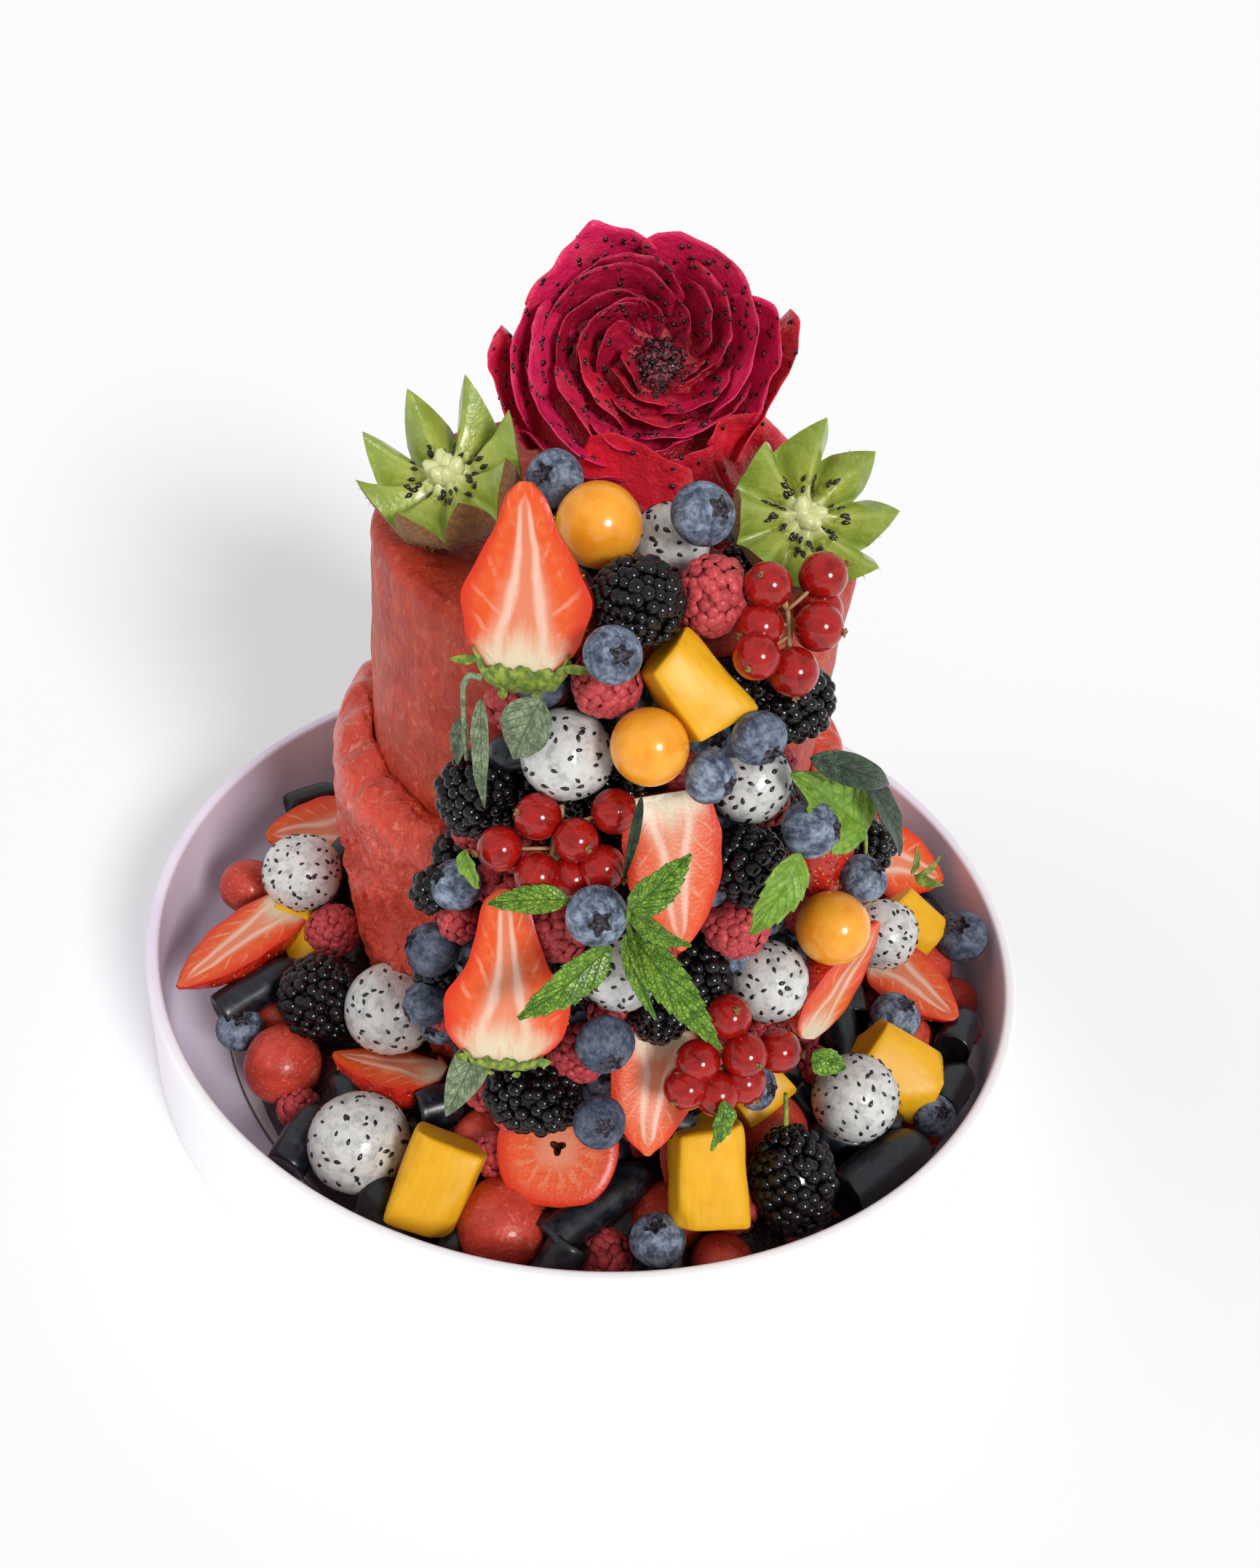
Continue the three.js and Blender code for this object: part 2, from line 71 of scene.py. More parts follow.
def axes(x, y, z, point=(0, 0, 0)):
    """A matrix at a point, from the ways of its three axes."""
    made = np.eye(4)
    made[:3, :3] = np.stack([x, y, z], 1)
    made[:3, 3] = point
    return made


def swung(first, second, angle):
    """Two ways square to each other, swung by an angle from the first towards the second."""
    cos, sin = math.cos(angle), math.sin(angle)
    return first * cos + second * sin, second * cos - first * sin


def rolled(axis, degrees):
    """A turn about an axis."""
    return np.array(Matrix.Rotation(math.radians(degrees), 4, axis))


# ---- Camera, light and floor
CAMERA_POINT = np.array([0, -371.2, 386.5])
CAMERA_DOWN, CAMERA_ASIDE, CAMERA_ROLL = (math.radians(angle) for angle in (38.148, 1.258, 6.826))
CAMERA_LENS = 35.07
SKY_STRENGTH = 0.56
FLOOR_REACH, FLOOR_GAP = 6.0, 0.0003


def add_camera():
    flat = math.cos(CAMERA_DOWN)
    ahead = np.array([math.sin(CAMERA_ASIDE) * flat, math.cos(CAMERA_ASIDE) * flat, -math.sin(CAMERA_DOWN)])
    level = unit(np.cross(ahead, (0, 0, 1)))
    right, up = swung(level, np.cross(level, ahead), CAMERA_ROLL)
    camera = bpy.data.objects.new("camera", bpy.data.cameras.new("camera"))
    camera.data.lens = CAMERA_LENS
    camera.data.sensor_width = 36
    camera.data.clip_start = 0.01
    camera.matrix_world = Matrix(axes(right, up, -ahead, CAMERA_POINT * MM).tolist())
    bpy.context.collection.objects.link(camera)
    bpy.context.scene.camera = camera


def add_sun(name, towards, strength, softness, mirrored=True):
    """A distant soft light that comes from that way. Unless mirrored, it makes no highlights."""
    light = bpy.data.lights.new(name, "SUN")
    light.energy = strength
    light.angle = math.radians(softness)
    lamp = bpy.data.objects.new(name, light)
    lamp.visible_glossy = mirrored
    back = unit(towards)
    side = unit(np.cross((0, 0, 1), back))
    lamp.matrix_world = Matrix(axes(side, np.cross(back, side), back).tolist())
    bpy.context.collection.objects.link(lamp)


def add_surroundings():
    world = bpy.data.worlds.new("studio")
    world.use_nodes = True
    sky = world.node_tree.nodes["Background"]
    sky.inputs["Color"].default_value = (1, 1, 1, 1)
    sky.inputs["Strength"].default_value = SKY_STRENGTH
    bpy.context.scene.world = world
    bpy.context.scene.view_settings.view_transform = "Standard"
    add_sun("window", (0.5, -0.8, 0.6), strength=2.0, softness=16)
    add_sun("far_window", (-0.75, -0.15, 0.65), strength=0.65, softness=50, mirrored=False)
    mesh = bpy.data.meshes.new("floor")
    corners = [(x * FLOOR_REACH, y * FLOOR_REACH, 0) for x, y in ((-1, -1), (1, -1), (1, 1), (-1, 1))]
    mesh.from_pydata(corners, [], [(0, 1, 2, 3)])
    floor = bpy.data.objects.new("floor", mesh)
    material = bpy.data.materials.new("pale_floor")
    material.use_nodes = True
    shader = material.node_tree.nodes["Principled BSDF"]
    shader.inputs["Base Color"].default_value = (0.95, 0.95, 0.95, 1)
    shader.inputs["Roughness"].default_value = 0.9
    mesh.materials.append(material)
    floor.location.z = -FLOOR_GAP
    bpy.context.collection.objects.link(floor)


# ---- Finishes
def colour(code):
    """A colour for a socket from six hexadecimal digits."""
    shares = [int(code[i : i + 2], 16) / 255 for i in (0, 2, 4)]
    return tuple(s / 12.92 if s < 0.04045 else ((s + 0.055) / 1.055) ** 2.4 for s in shares) + (1.0,)


class Value:
    """A number in a finish's node tree, for use in plain arithmetic."""

    def __init__(self, finish, socket):
        self.finish, self.socket = finish, socket

    __add__ = __radd__ = lambda self, other: self.finish.math("ADD", self, other)
    __mul__ = __rmul__ = lambda self, other: self.finish.math("MULTIPLY", self, other)
    __sub__ = lambda self, other: self.finish.math("SUBTRACT", self, other)
    __rsub__ = lambda self, other: self.finish.math("SUBTRACT", other, self)
    __abs__ = lambda self: self.finish.math("ABSOLUTE", self)


class Finish:
    """A procedural material. What the meshes carry for it: local, the fruit's own coordinates; grain, the
    same in millimetres and shifted for each fruit; and tone, a number of its own for each fruit."""

    made = {}

    def __init__(self, name, roughness=0.5, specular=0.5, coat=(0, 0.03), sheen=(0, 0.5)):
        """Coat and sheen are each a weight and a roughness."""
        self.material = bpy.data.materials.new(name)
        self.material.use_nodes = True
        self.tree = self.material.node_tree
        self.shader = self.tree.nodes["Principled BSDF"]
        sockets = {
            "Roughness": roughness, "Specular IOR Level": specular, "Coat Weight": coat[0],
            "Coat Roughness": coat[1], "Sheen Weight": sheen[0], "Sheen Roughness": sheen[1],
        }
        for socket, value in sockets.items():
            self.shader.inputs[socket].default_value = value
        self.index = len(Finish.made)
        Finish.made[name] = self

    def put(self, socket, value):
        if isinstance(value, Value):
            self.tree.links.new(value.socket, socket)
        else:
            socket.default_value = value

    def node(self, kind, settings=None, values=None, output=0):
        made = self.tree.nodes.new("ShaderNode" + kind)
        for setting, value in (settings or {}).items():
            setattr(made, setting, value)
        for socket, value in (values or {}).items():
            self.put(made.inputs[socket], value)
        return Value(self, made.outputs[output])

    def math(self, operation, *terms):
        return self.node("Math", {"operation": operation}, dict(enumerate(terms)))

    def carried(self, name):
        """What the mesh carries under that name: a number for tone, a vector for the others."""
        output = "Fac" if name == "tone" else "Vector"
        return self.node("Attribute", {"attribute_name": name}, output=output)

    def own_place(self):
        """The three numbers of local."""
        made = self.node("SeparateXYZ", values={0: self.carried("local")})
        return [Value(self, output) for output in made.socket.node.outputs]

    def noise(self, size, stretch=None, detail=2.0, roughness=0.5, twist=0.0, at="grain"):
        """Noise from 0 to 1 with blots of that size in millimetres, drawn out along an axis by stretch."""
        vector = self.carried(at)
        if stretch:
            shares = tuple(1 / s for s in stretch)
            vector = self.node("VectorMath", {"operation": "MULTIPLY"}, {0: vector, 1: shares})
        values = {"Scale": 1 / size, "Detail": detail, "Roughness": roughness, "Distortion": twist}
        return self.node("TexNoise", values={**values, "Vector": vector})

    def cells(self, size, feature="F1"):
        """How far it is to the nearest point, or edge, of scattered cells of that size."""
        values = {"Scale": 1 / size, "Randomness": 1.0, "Vector": self.carried("grain")}
        return self.node("TexVoronoi", {"feature": feature}, values, "Distance")

    def step(self, value, low, high):
        """0 before low and 1 after high, with a smooth rise between."""
        values = {"Value": value, "From Min": low, "From Max": high}
        return self.node("MapRange", {"interpolation_type": "SMOOTHSTEP"}, values)

    def blots(self, size, low, high, detail=2.0, **more):
        """Blots of that size: 0 where the noise is under low, 1 where it is over high."""
        return self.step(self.noise(size, detail=detail, **more), low, high)

    def blend(self, first, second, share):
        """A colour between two."""
        first, second = (colour(c) if isinstance(c, str) else c for c in (first, second))
        return self.node("Mix", {"data_type": "RGBA"}, {0: share, 6: first, 7: second}, 2)

    def paint(self, base_color, roughness=None):
        self.put(self.shader.inputs["Base Color"], base_color)
        if roughness:
            self.put(self.shader.inputs["Roughness"], roughness)

    def bump(self, height, depth):
        """Raises the surface by height times depth in millimetres."""
        values = {"Height": height, "Distance": depth * MM, "Strength": 1.0}
        self.put(self.shader.inputs["Normal"], self.node("Bump", values=values))


def make_finishes():
    f = Finish("berry_bloom", 0.5, specular=0.3)
    clouds = f.noise(3.4, detail=4, roughness=0.6)
    streaks = f.noise(0.9, stretch=(1, 1, 5), detail=3)
    scuffs = f.blots(3.6, 0.5, 0.6, 5, roughness=0.7)
    bloom = f.step(clouds * 0.75 + streaks * 0.35, 0.36, 0.78)
    skin = f.blend("2f3b50", "9aa8bc", bloom)
    skin = f.blend(skin, "232d3c", scuffs * 0.55)
    skin = f.blend(skin, "23263a", f.step(f.carried("tone"), 0.4, 1.0) * 0.65)
    f.paint(skin, roughness=0.62 - scuffs * 0.25)
    f.bump(f.noise(0.7, detail=3), 0.1)

    f = Finish("berry_crown", 0.8, specular=0.2)
    f.paint(f.blend("1f1c24", "5f5a62", f.blots(0.8, 0.35, 0.7, 3)))
    f.bump(f.noise(0.4, detail=3), 0.15)

    f = Finish("physalis_skin", 0.3, specular=0.3, coat=(0.5, 0.1))
    orange = f.blend("f2a22a", "e68d17", f.blots(6, 0.35, 0.75))
    f.paint(f.blend(orange, "f6b54c", f.blots(0.5, 0.6, 0.72, 1) * 0.35))
    f.bump(f.noise(1.2), 0.05)

    f = Finish("currant_skin", 0.16, specular=0.25, coat=(0.45, 0.06))
    x, y, _ = f.own_place()
    meridian = f.math("ARCTAN2", y, x)
    veins = f.math("SINE", meridian * 9 + f.noise(0.7, at="local") * 3)
    red = f.blend("a0140f", "7c0d0a", f.blots(3.5, 0.4, 0.75))
    f.paint(f.blend(red, "b53a2e", f.step(veins, 0.82, 1.0) * 0.22))

    f = Finish("dried_tip", 0.85, specular=0.2)
    f.paint(f.blend("5b3a22", "a98257", f.blots(0.5, 0.3, 0.7, 3)))

    f = Finish("currant_stalk", 0.55)
    f.paint(f.blend("bd8a62", "a5855a", f.blots(2.5, 0.4, 0.6)))

    f = Finish("white_pitaya_flesh", 0.3, coat=(0.35, 0.12))
    deep = f.step(f.cells(2.5), 0.34, 0.12) * f.blots(2.2, 0.5, 0.6)
    flesh = f.blend("d0d0cc", "aaacac", f.blots(3.0, 0.42, 0.72, 3))
    f.paint(f.blend(flesh, "7c7f82", deep * 0.55), roughness=f.noise(1.2) * 0.3 + 0.15)
    f.bump(f.noise(1.6, detail=3), 0.25)

    f = Finish("black_seed", 0.25, coat=(0.4, 0.03))
    f.paint(f.blend("0a0a0b", "1c1a19", f.noise(0.6)))

    f = Finish("bramble_black", 0.2, specular=0.2, coat=(0.5, 0.03))
    ripe = f.blend("050609", "100a0e", f.step(f.carried("tone"), 0.3, 1.0))
    f.paint(f.blend(ripe, "14171d", f.blots(1.1, 0.55, 0.8)))
    f.bump(f.noise(0.7), 0.05)

    f = Finish("raspberry_red", 0.5, specular=0.3, coat=(0.15, 0.15), sheen=(0.12, 0.4))
    red = f.blend("b2343c", "d05656", f.blots(1.0, 0.35, 0.75, 3))
    f.paint(f.blend(red, "8c2028", f.step(f.carried("tone"), 0.4, 1.0) * 0.4))
    f.bump(f.noise(0.35), 0.1)

    strawberry_finishes()

    f = Finish("mango_flesh", 0.42, specular=0.25, coat=(0.1, 0.25))
    fibre = f.noise(1.2, stretch=(1, 7, 1), detail=3)
    gold = f.blend("e4a818", "e9af24", f.step(fibre, 0.35, 0.75))
    f.paint(f.blend(gold, "d6920f", f.blots(6, 0.5, 0.75) * 0.4))
    f.bump(fibre * 0.5 + f.noise(4) * 0.8, 0.1)

    f = Finish("grape_skin", 0.35, coat=(0.3, 0.2))
    bloom = f.blots(3.2, 0.42, 0.75, 4, roughness=0.6)
    dusted = f.blend("0b1016", "262f3a", bloom * (1 - f.carried("tone") * 0.6))
    f.paint(dusted, roughness=bloom * 0.3 + 0.28)

    melon_finishes()
    kiwi_finishes()
    rose_finishes()
    leaf_finishes()

    f = Finish("tray_card", 0.5, coat=(0.1, 0.3))
    x, y, _ = f.own_place()
    # Painted light: the outer wall towards the front and right is painted near white, as the light blows it
    # out; towards the back left it keeps the lilac of the card.
    outside = f.step(f.math("SQRT", x * x + y * y), 136.8, 138.4) * f.step(x * 0.5 - y, -40, 60)
    card = f.blend("efe6f5", "e6dcef", f.blots(30, 0.35, 0.7, stretch=(1, 1, 3)))
    f.paint(f.blend(card, "fbfafc", outside))
    f.bump(f.noise(9, stretch=(1, 1, 4)), 0.15)

    f = Finish("board_card", 0.45, coat=(0.3, 0.03))
    f.paint(f.blend("c9bfc4", "b9a9ae", f.blots(18, 0.4, 0.7, 3)))
    f.bump(f.noise(0.6), 0.03)

    # Painted shadow: the brown of the card's cut edge is darkened to stand for the shadow line along the
    # board's edge.
    f = Finish("board_edge", 0.6)
    f.paint(f.blend("5a4440", "7b625b", f.noise(3)))

    # Painted shade: near-black red stands for the shadowed gaps between packed fruit, on the cores that fill
    # in under it.
    f = Finish("packed_fruit", 0.45, coat=(0.3, 0.03))
    dark = f.blend("2b090c", "100506", f.blots(6, 0.4, 0.6, 3))
    f.paint(f.blend(dark, "451013", f.blots(3, 0.58, 0.75)))
    f.bump(f.noise(2.5, detail=3), 1.0)


def strawberry_finishes():
    # On the cut face local runs from -1 to 1 across and from 0 at the shoulder to 1 at the tip. On a round
    # slice it runs both ways from the core, and its third number is 1.
    f = Finish("strawberry_cut", 0.36, specular=0.35, coat=(0.2, 0.2))
    across, along, round_slice = f.own_place()
    half = 1 - round_slice
    grain = f.noise(2.2, detail=3)
    streaks = f.noise(1.1, stretch=(1, 7, 1), detail=3)
    wander = f.noise(9) - 0.5
    reach = f.math("SQRT", across * across + along * along)
    away = abs(across + wander * 0.12) * half + reach * round_slice
    red = f.blend("de5218", "d02e08", f.step(away, 0.6, 1.0))
    red = f.blend(red, "de7446", f.step(grain, 0.42, 0.75) * f.step(away, 1.0, 0.4) * 0.6)
    # Pale veins slant from the heart up and out to the skin.
    slant = f.math("SINE", (along - away * 0.32 + wander * 0.06) * 40 + grain * 1.2)
    veins = f.step(slant, 0.62, 1.0) * f.step(away, 0.26, 0.5)
    veins = veins * f.step(away, 0.97, 0.6) * f.blots(5, 0.36, 0.6)
    rays = f.math("SINE", f.math("ARCTAN2", along, across) * 15 + grain * 7)
    rays = f.step(rays, 0.2, 1.0) * f.step(reach, 0.9, 0.5) * f.step(reach, 0.15, 0.4) * round_slice
    pale_ring = f.step(reach, 0.5, 0.2) * round_slice
    # The heart is outlined by two pale lines that close towards the tip and open towards the shoulder.
    line_at = (0.2 + 0.24 * f.step(along, 0.42, 0.06)) * f.step(along, 0.97, 0.86)
    gap = away - line_at
    halo = f.step(gap, 0.4 - along * 0.22, 0.0) * f.step(along, 0.95, 0.2) * half
    around_core = f.math("MAXIMUM", rays * 0.3, pale_ring * 0.5)
    red = f.blend(red, "e0a284", f.math("MAXIMUM", halo * 0.75, around_core))
    red = f.blend(red, "dc7c58", f.step(gap, 0.03, -0.07) * half * 0.8)
    line = f.step(abs(gap), 0.13, 0.02) * f.step(along, 0.95, 0.82) * half
    red = f.blend(red, "e8c4b0", line * (0.35 + streaks * 0.7))
    red = f.blend(red, "e8a286", veins * half * 0.5)
    base = f.step(along + away * 0.1 + wander * 0.12 - streaks * 0.2, 0.22, -0.02) * half
    cream = f.blend("dccdae", "dcb294", f.step(streaks, 0.5, 0.8))
    f.paint(f.blend(red, cream, base * f.step(away, 1.0, 0.72)))
    f.bump(f.noise(0.9, detail=3) + veins * 0.6 + streaks * 0.4, 0.16)

    f = Finish("strawberry_skin", 0.28, coat=(0.5, 0.12))
    ripe = f.blend("cc2c18", "a8190f", f.blots(5, 0.4, 0.7, 3))
    _, along, _ = f.own_place()
    f.paint(f.blend(ripe, "d96c38", f.step(along, 0.16, 0.0) * 0.7))
    f.bump(f.step(f.cells(1.6), 0.2, 0.5), 0.25)

    # Painted shade: the hole of the core is painted near black, dark as its shadow.
    f = Finish("strawberry_hollow", 0.6)
    f.paint(f.blend("2a0a07", "7d2a18", f.noise(1.5)))

    f = Finish("strawberry_seed", 0.45)
    f.paint(f.blend("c8963a", "955a1c", f.carried("tone")))

    f = Finish("calyx_green", 0.5, sheen=(0.1, 0.5))
    f.paint(f.blend("4f6c1a", "93a234", f.blots(1.8, 0.35, 0.7, 3)))
    f.bump(f.noise(0.7, stretch=(1, 4, 1), detail=3), 0.2)


def melon_flesh(name, fresh, deep, pale, dashes, relief, folded, roughness, specular, coat):
    """Melon flesh: blots of deeper red, pale fibres cut short, small lumps, and folds where it tore, painted
    deeper red where they sink as painted shade.
    """
    f = Finish(name, specular=specular, coat=coat)
    blots = f.blots(12, 0.42, 0.6, 5, roughness=0.65, twist=0.5)
    lumps = f.noise(4.4, stretch=(1, 1, 1.3), detail=4, roughness=0.58, twist=0.5)
    folds = f.noise(9, stretch=(1, 1, 1.6), roughness=0.45, twist=1.0)
    fibres = f.noise(1.2, stretch=(1, 1, dashes), detail=3, roughness=0.55)
    flesh = f.blend(fresh, deep, f.math("MAXIMUM", blots * 0.9, f.step(lumps, 0.5, 0.68)) * 0.8)
    flesh = f.blend(flesh, pale, f.step(fibres, 0.56, 0.74) * 0.5)
    flesh = f.blend(flesh, pale, f.step(lumps, 0.42, 0.28) * 0.5)
    flesh = f.blend(flesh, deep, f.blots(1.5, 0.6, 0.72) * 0.25)
    # Painted shade: deeper red where the folds sink.
    flesh = f.blend(flesh, deep, f.step(folds, 0.44, 0.32) * folded * 0.5)
    # Painted sheen: broad paler blots on the upper tier stand for the haze of light on its wet face.
    if name == "melon_flesh_upper":
        flesh = f.blend(flesh, "c0603f", f.blots(24, 0.45, 0.7, 3) * 0.3)
    size, swing, least = roughness
    f.paint(flesh, roughness=f.noise(size) * swing + least)
    f.bump(lumps + folds * folded * 3.0 + fibres * 0.25, relief)


def melon_finishes():
    # How fine and strong the swings in roughness are and its least, then specular level and coat.
    dry = (2.5, 0.4, 0.28), 0.2, (0.06, 0.25)
    wet = (2.0, 0.35, 0.15), 0.25, (0.22, 0.12)
    melon_flesh("melon_flesh_upper", "bc3e28", "992817", "d87858", 2.4, 0.7, 0.4, *dry)
    melon_flesh("melon_flesh_lower", "d84a34", "bc3a28", "f09880", 1.8, 1.2, 1.0, *wet)
    melon_flesh("melon_flesh_ball", "c84434", "a83325", "e0806a", 1.3, 0.8, 0.2, *wet)


def kiwi_finishes():
    # Local on the cut: x is the share of the way from the core to the rim, y the turns round the fruit.
    f = Finish("kiwi_flesh", 0.32, coat=(0.4, 0.15))
    share, round_it, _ = f.own_place()
    rays = f.math("SINE", round_it * TAU * 34 + f.noise(2.5) * 5)
    green = f.blend("a4ab45", "829636", f.step(share, 0.4, 0.95))
    green = f.blend(green, "a6b552", f.blots(3.5, 0.4, 0.7, 3) * 0.6)
    green = f.blend(green, "b9c46c", f.step(rays, 0.2, 1.0) * f.step(share, 0.8, 0.3) * 0.4)
    green = f.blend(green, "55661f", f.step(abs(share - 0.4), 0.13, 0.02) * f.blots(1.6, 0.42, 0.62) * 0.55)
    core = f.step(share + (f.noise(2) - 0.5) * 0.14, 0.36, 0.2)
    f.paint(f.blend(green, "d0d296", core))
    f.bump(f.noise(1.4, detail=3) + rays * 0.06, 0.3)

    f = Finish("kiwi_skin", 0.75, sheen=(0.15, 0.5), specular=0.25)
    f.paint(f.blend("94693a", "6a4a28", f.blots(1.6, 0.35, 0.7, 4, roughness=0.7)))
    f.bump(f.noise(0.5, detail=3), 0.25)

    f = Finish("kiwi_fuzz", 0.7, specular=0.2)
    f.paint(f.blend("8e6a40", "b3925f", f.carried("tone")))


def rose_finishes():
    # Local's z on a petal is how red it is, and tone is its painted shade: how much darker it is painted for
    # lying deep in the rose.
    f = Finish("red_pitaya_flesh", 0.2, specular=0.4, coat=(0.1, 0.06))
    _, _, red = f.own_place()
    shade = f.carried("tone")
    clear = f.blend("de2660", "dc2638", red)
    deep = f.blend("a8163c", "ac1826", red)
    # Painted shade: the deeper a petal lies, the deeper red it is painted; the lit petals in front have tones
    # below 0 and come out clearer. Paler pink blots show only on the petals with little painted shade.
    flesh = f.blend(clear, deep, f.step(shade + (f.noise(8, detail=3) - 0.5) * 1.1, 0.05, 0.85))
    flesh = f.blend(flesh, "e04a5a", f.blots(7, 0.54, 0.68, 3) * f.step(shade, 0.9, 0.3) * 0.4)
    flesh = f.blend(flesh, "90102e", f.blots(4, 0.52, 0.75, 4, roughness=0.6) * 0.45)
    # Painted highlights: fine pale pink specks stand for the wet glints on the flesh.
    flesh = f.blend(flesh, "f098b4", f.blots(0.8, 0.62, 0.72, 4, roughness=0.75) * 0.5)
    f.paint(flesh, roughness=f.noise(1.5) * 0.22 + 0.05)
    f.bump(f.noise(1.0, detail=4, roughness=0.6) * 0.6 + f.noise(3.2), 0.7)

    f = Finish("red_pitaya_heart", 0.3, coat=(0.4, 0.03))
    crumbs = f.noise(0.9, detail=3)
    # Painted shade: the hollows between the crumbs, which the bump sinks, are painted near black; the raised
    # crumbs are pink.
    f.paint(f.blend("300610", "b8485c", f.step(crumbs, 0.45, 0.75)))
    f.bump(crumbs, 0.7)


def leaf_finishes():
    # Local on a leaf: x from -1 to 1 across, y from the stalk at 0 to the tip at 1.
    def leaf(name, vein_shade, dark, light, rough, cells, quilt):
        """Leaf skin that swells between its sunken veins, which are painted darker as painted shade."""
        f = Finish(name, rough, specular=0.4, coat=(0.08, 0.03))
        across, along, _ = f.own_place()
        away = abs(across)
        rib = f.step(away, 0.06, 0.015)
        side = f.step(abs(f.math("FRACT", along * 7 - away * 2.4) - 0.5), 0.09, 0.0)
        side = side * f.step(away, 1.0, 0.7)
        net = f.step(f.cells(cells, "DISTANCE_TO_EDGE"), 0.16, 0.0)
        lines = f.math("MAXIMUM", f.math("MAXIMUM", rib, side * 0.8), net * 0.5)
        green = f.blend(dark, light, f.blots(2.2, 0.35, 0.65, 3))
        # Painted shade: the sunken veins are painted darker.
        f.paint(f.blend(green, vein_shade, lines * 0.65))
        f.bump(1 - lines, quilt)

    leaf("mint_leaf", "33500f", "4f7a1a", "82a836", 0.38, 1.2, 0.5)
    leaf("bright_leaf", "5a8020", "648c22", "86a83a", 0.4, 2.8, 0.2)
    leaf("dark_leaf", "121e12", "1b2d1c", "344c30", 0.4, 1.6, 0.2)
    leaf("grey_leaf", "3e4a34", "5f6e50", "8b9a78", 0.55, 1.8, 0.3)


# ---- Shapes
class Shape:
    """Points in millimetres, faces of four points (the last is -1 where there are three), and what the
    finishes read at each point."""

    def __init__(self, points, faces, finish, local=None):
        self.points = np.asarray(points, float).reshape(-1, 3)
        self.faces = np.asarray(faces, int).reshape(-1, 4)
        self.finish = np.full(len(self.faces), Finish.made[finish].index)
        self.local = self.points.copy() if local is None else np.asarray(local, float).reshape(-1, 3)
        self.grain = self.points.copy()
        self.tone = np.zeros(len(self.points))

    def copied(self):
        twin = Shape.__new__(Shape)
        twin.__dict__ = {name: value.copy() for name, value in self.__dict__.items()}
        return twin

    def moved(self, matrix):
        """The same shape at another place; what its finish reads stays."""
        twin = self.copied()
        twin.points = self.points @ np.asarray(matrix)[:3, :3].T + np.asarray(matrix)[:3, 3]
        return twin

    def shifted(self, by):
        """The same shape, moved by a vector."""
        return self.moved(axes(*np.eye(3), by))

    def toned(self, tone):
        """The same shape with a look of its own: its tone, and its grain shifted by it."""
        twin = self.copied()
        twin.tone = np.full(len(self.points), float(tone))
        twin.grain = self.grain + GRAIN_SHIFT * (1 + tone)
        return twin


def together(shapes):
    """One shape of several."""
    whole = shapes[0].copied()
    start = np.cumsum([0] + [len(s.points) for s in shapes])
    whole.faces = np.concatenate([np.where(s.faces < 0, -1, s.faces + n) for s, n in zip(shapes, start)])
    for name in ("points", "finish", "local", "grain", "tone"):
        setattr(whole, name, np.concatenate([getattr(s, name) for s in shapes]))
    return whole


def repeated(shape, matrices, tones):
    """A shape at many places, each with its own tone."""
    matrices = np.asarray(matrices)
    count, size = len(matrices), len(shape.points)
    whole = shape.copied()
    spun = np.einsum("nij,pj->npi", matrices[:, :3, :3], shape.points) + matrices[:, None, :3, 3]
    whole.points = spun.reshape(-1, 3)
    shift = (np.arange(count) * size)[:, None, None]
    whole.faces = np.where(shape.faces[None] < 0, -1, shape.faces[None] + shift).reshape(-1, 4)
    tones = np.asarray(tones, float)
    whole.tone = np.repeat(tones, size)
    grain = shape.grain[None] + (GRAIN_SHIFT * (1 + tones[:, None]))[:, None]
    whole.grain = grain.reshape(-1, 3)
    whole.finish = np.tile(shape.finish, count)
    whole.local = np.tile(shape.local, (count, 1))
    return whole


def scattered(shape, matrices, rng):
    """A shape at many places, with tones at random."""
    return repeated(shape, matrices, rng.uniform(0, 1, len(matrices)))


def woven(points, finish, local=None, caps=(True, True), closed=True):
    """A skin over rows of points. Rows run along the shape and points round it, seen anticlockwise from its
    end. A cap closes an end with a point at its middle."""
    points = np.asarray(points, float)
    rows, sides = points.shape[:2]
    local = points.copy() if local is None else np.asarray(local, float)
    index = np.arange(rows * sides).reshape(rows, sides)
    turn = np.roll(index, -1, 1) if closed else index[:, 1:]
    here = index if closed else index[:, :-1]
    faces = [np.stack([here[:-1], turn[:-1], turn[1:], here[1:]], -1).reshape(-1, 4)]
    flat, own = [points.reshape(-1, 3)], [local.reshape(-1, 3)]
    total = rows * sides
    for cap, row, flipped in zip(caps, (0, -1), (True, False)):
        if not cap:
            continue
        a, b = (turn[row], here[row]) if flipped else (here[row], turn[row])
        middle = np.full(a.shape, total)
        faces.append(np.stack([a, b, middle, np.full(a.shape, -1)], -1))
        flat.append(points[row].mean(0)[None])
        own.append(local[row].mean(0)[None])
        total += 1
    return Shape(np.concatenate(flat), np.concatenate(faces), finish, np.concatenate(own))


def patch(points, finish, local=None):
    """A skin over a grid of points, open all round."""
    return woven(points, finish, local, (False, False), closed=False)


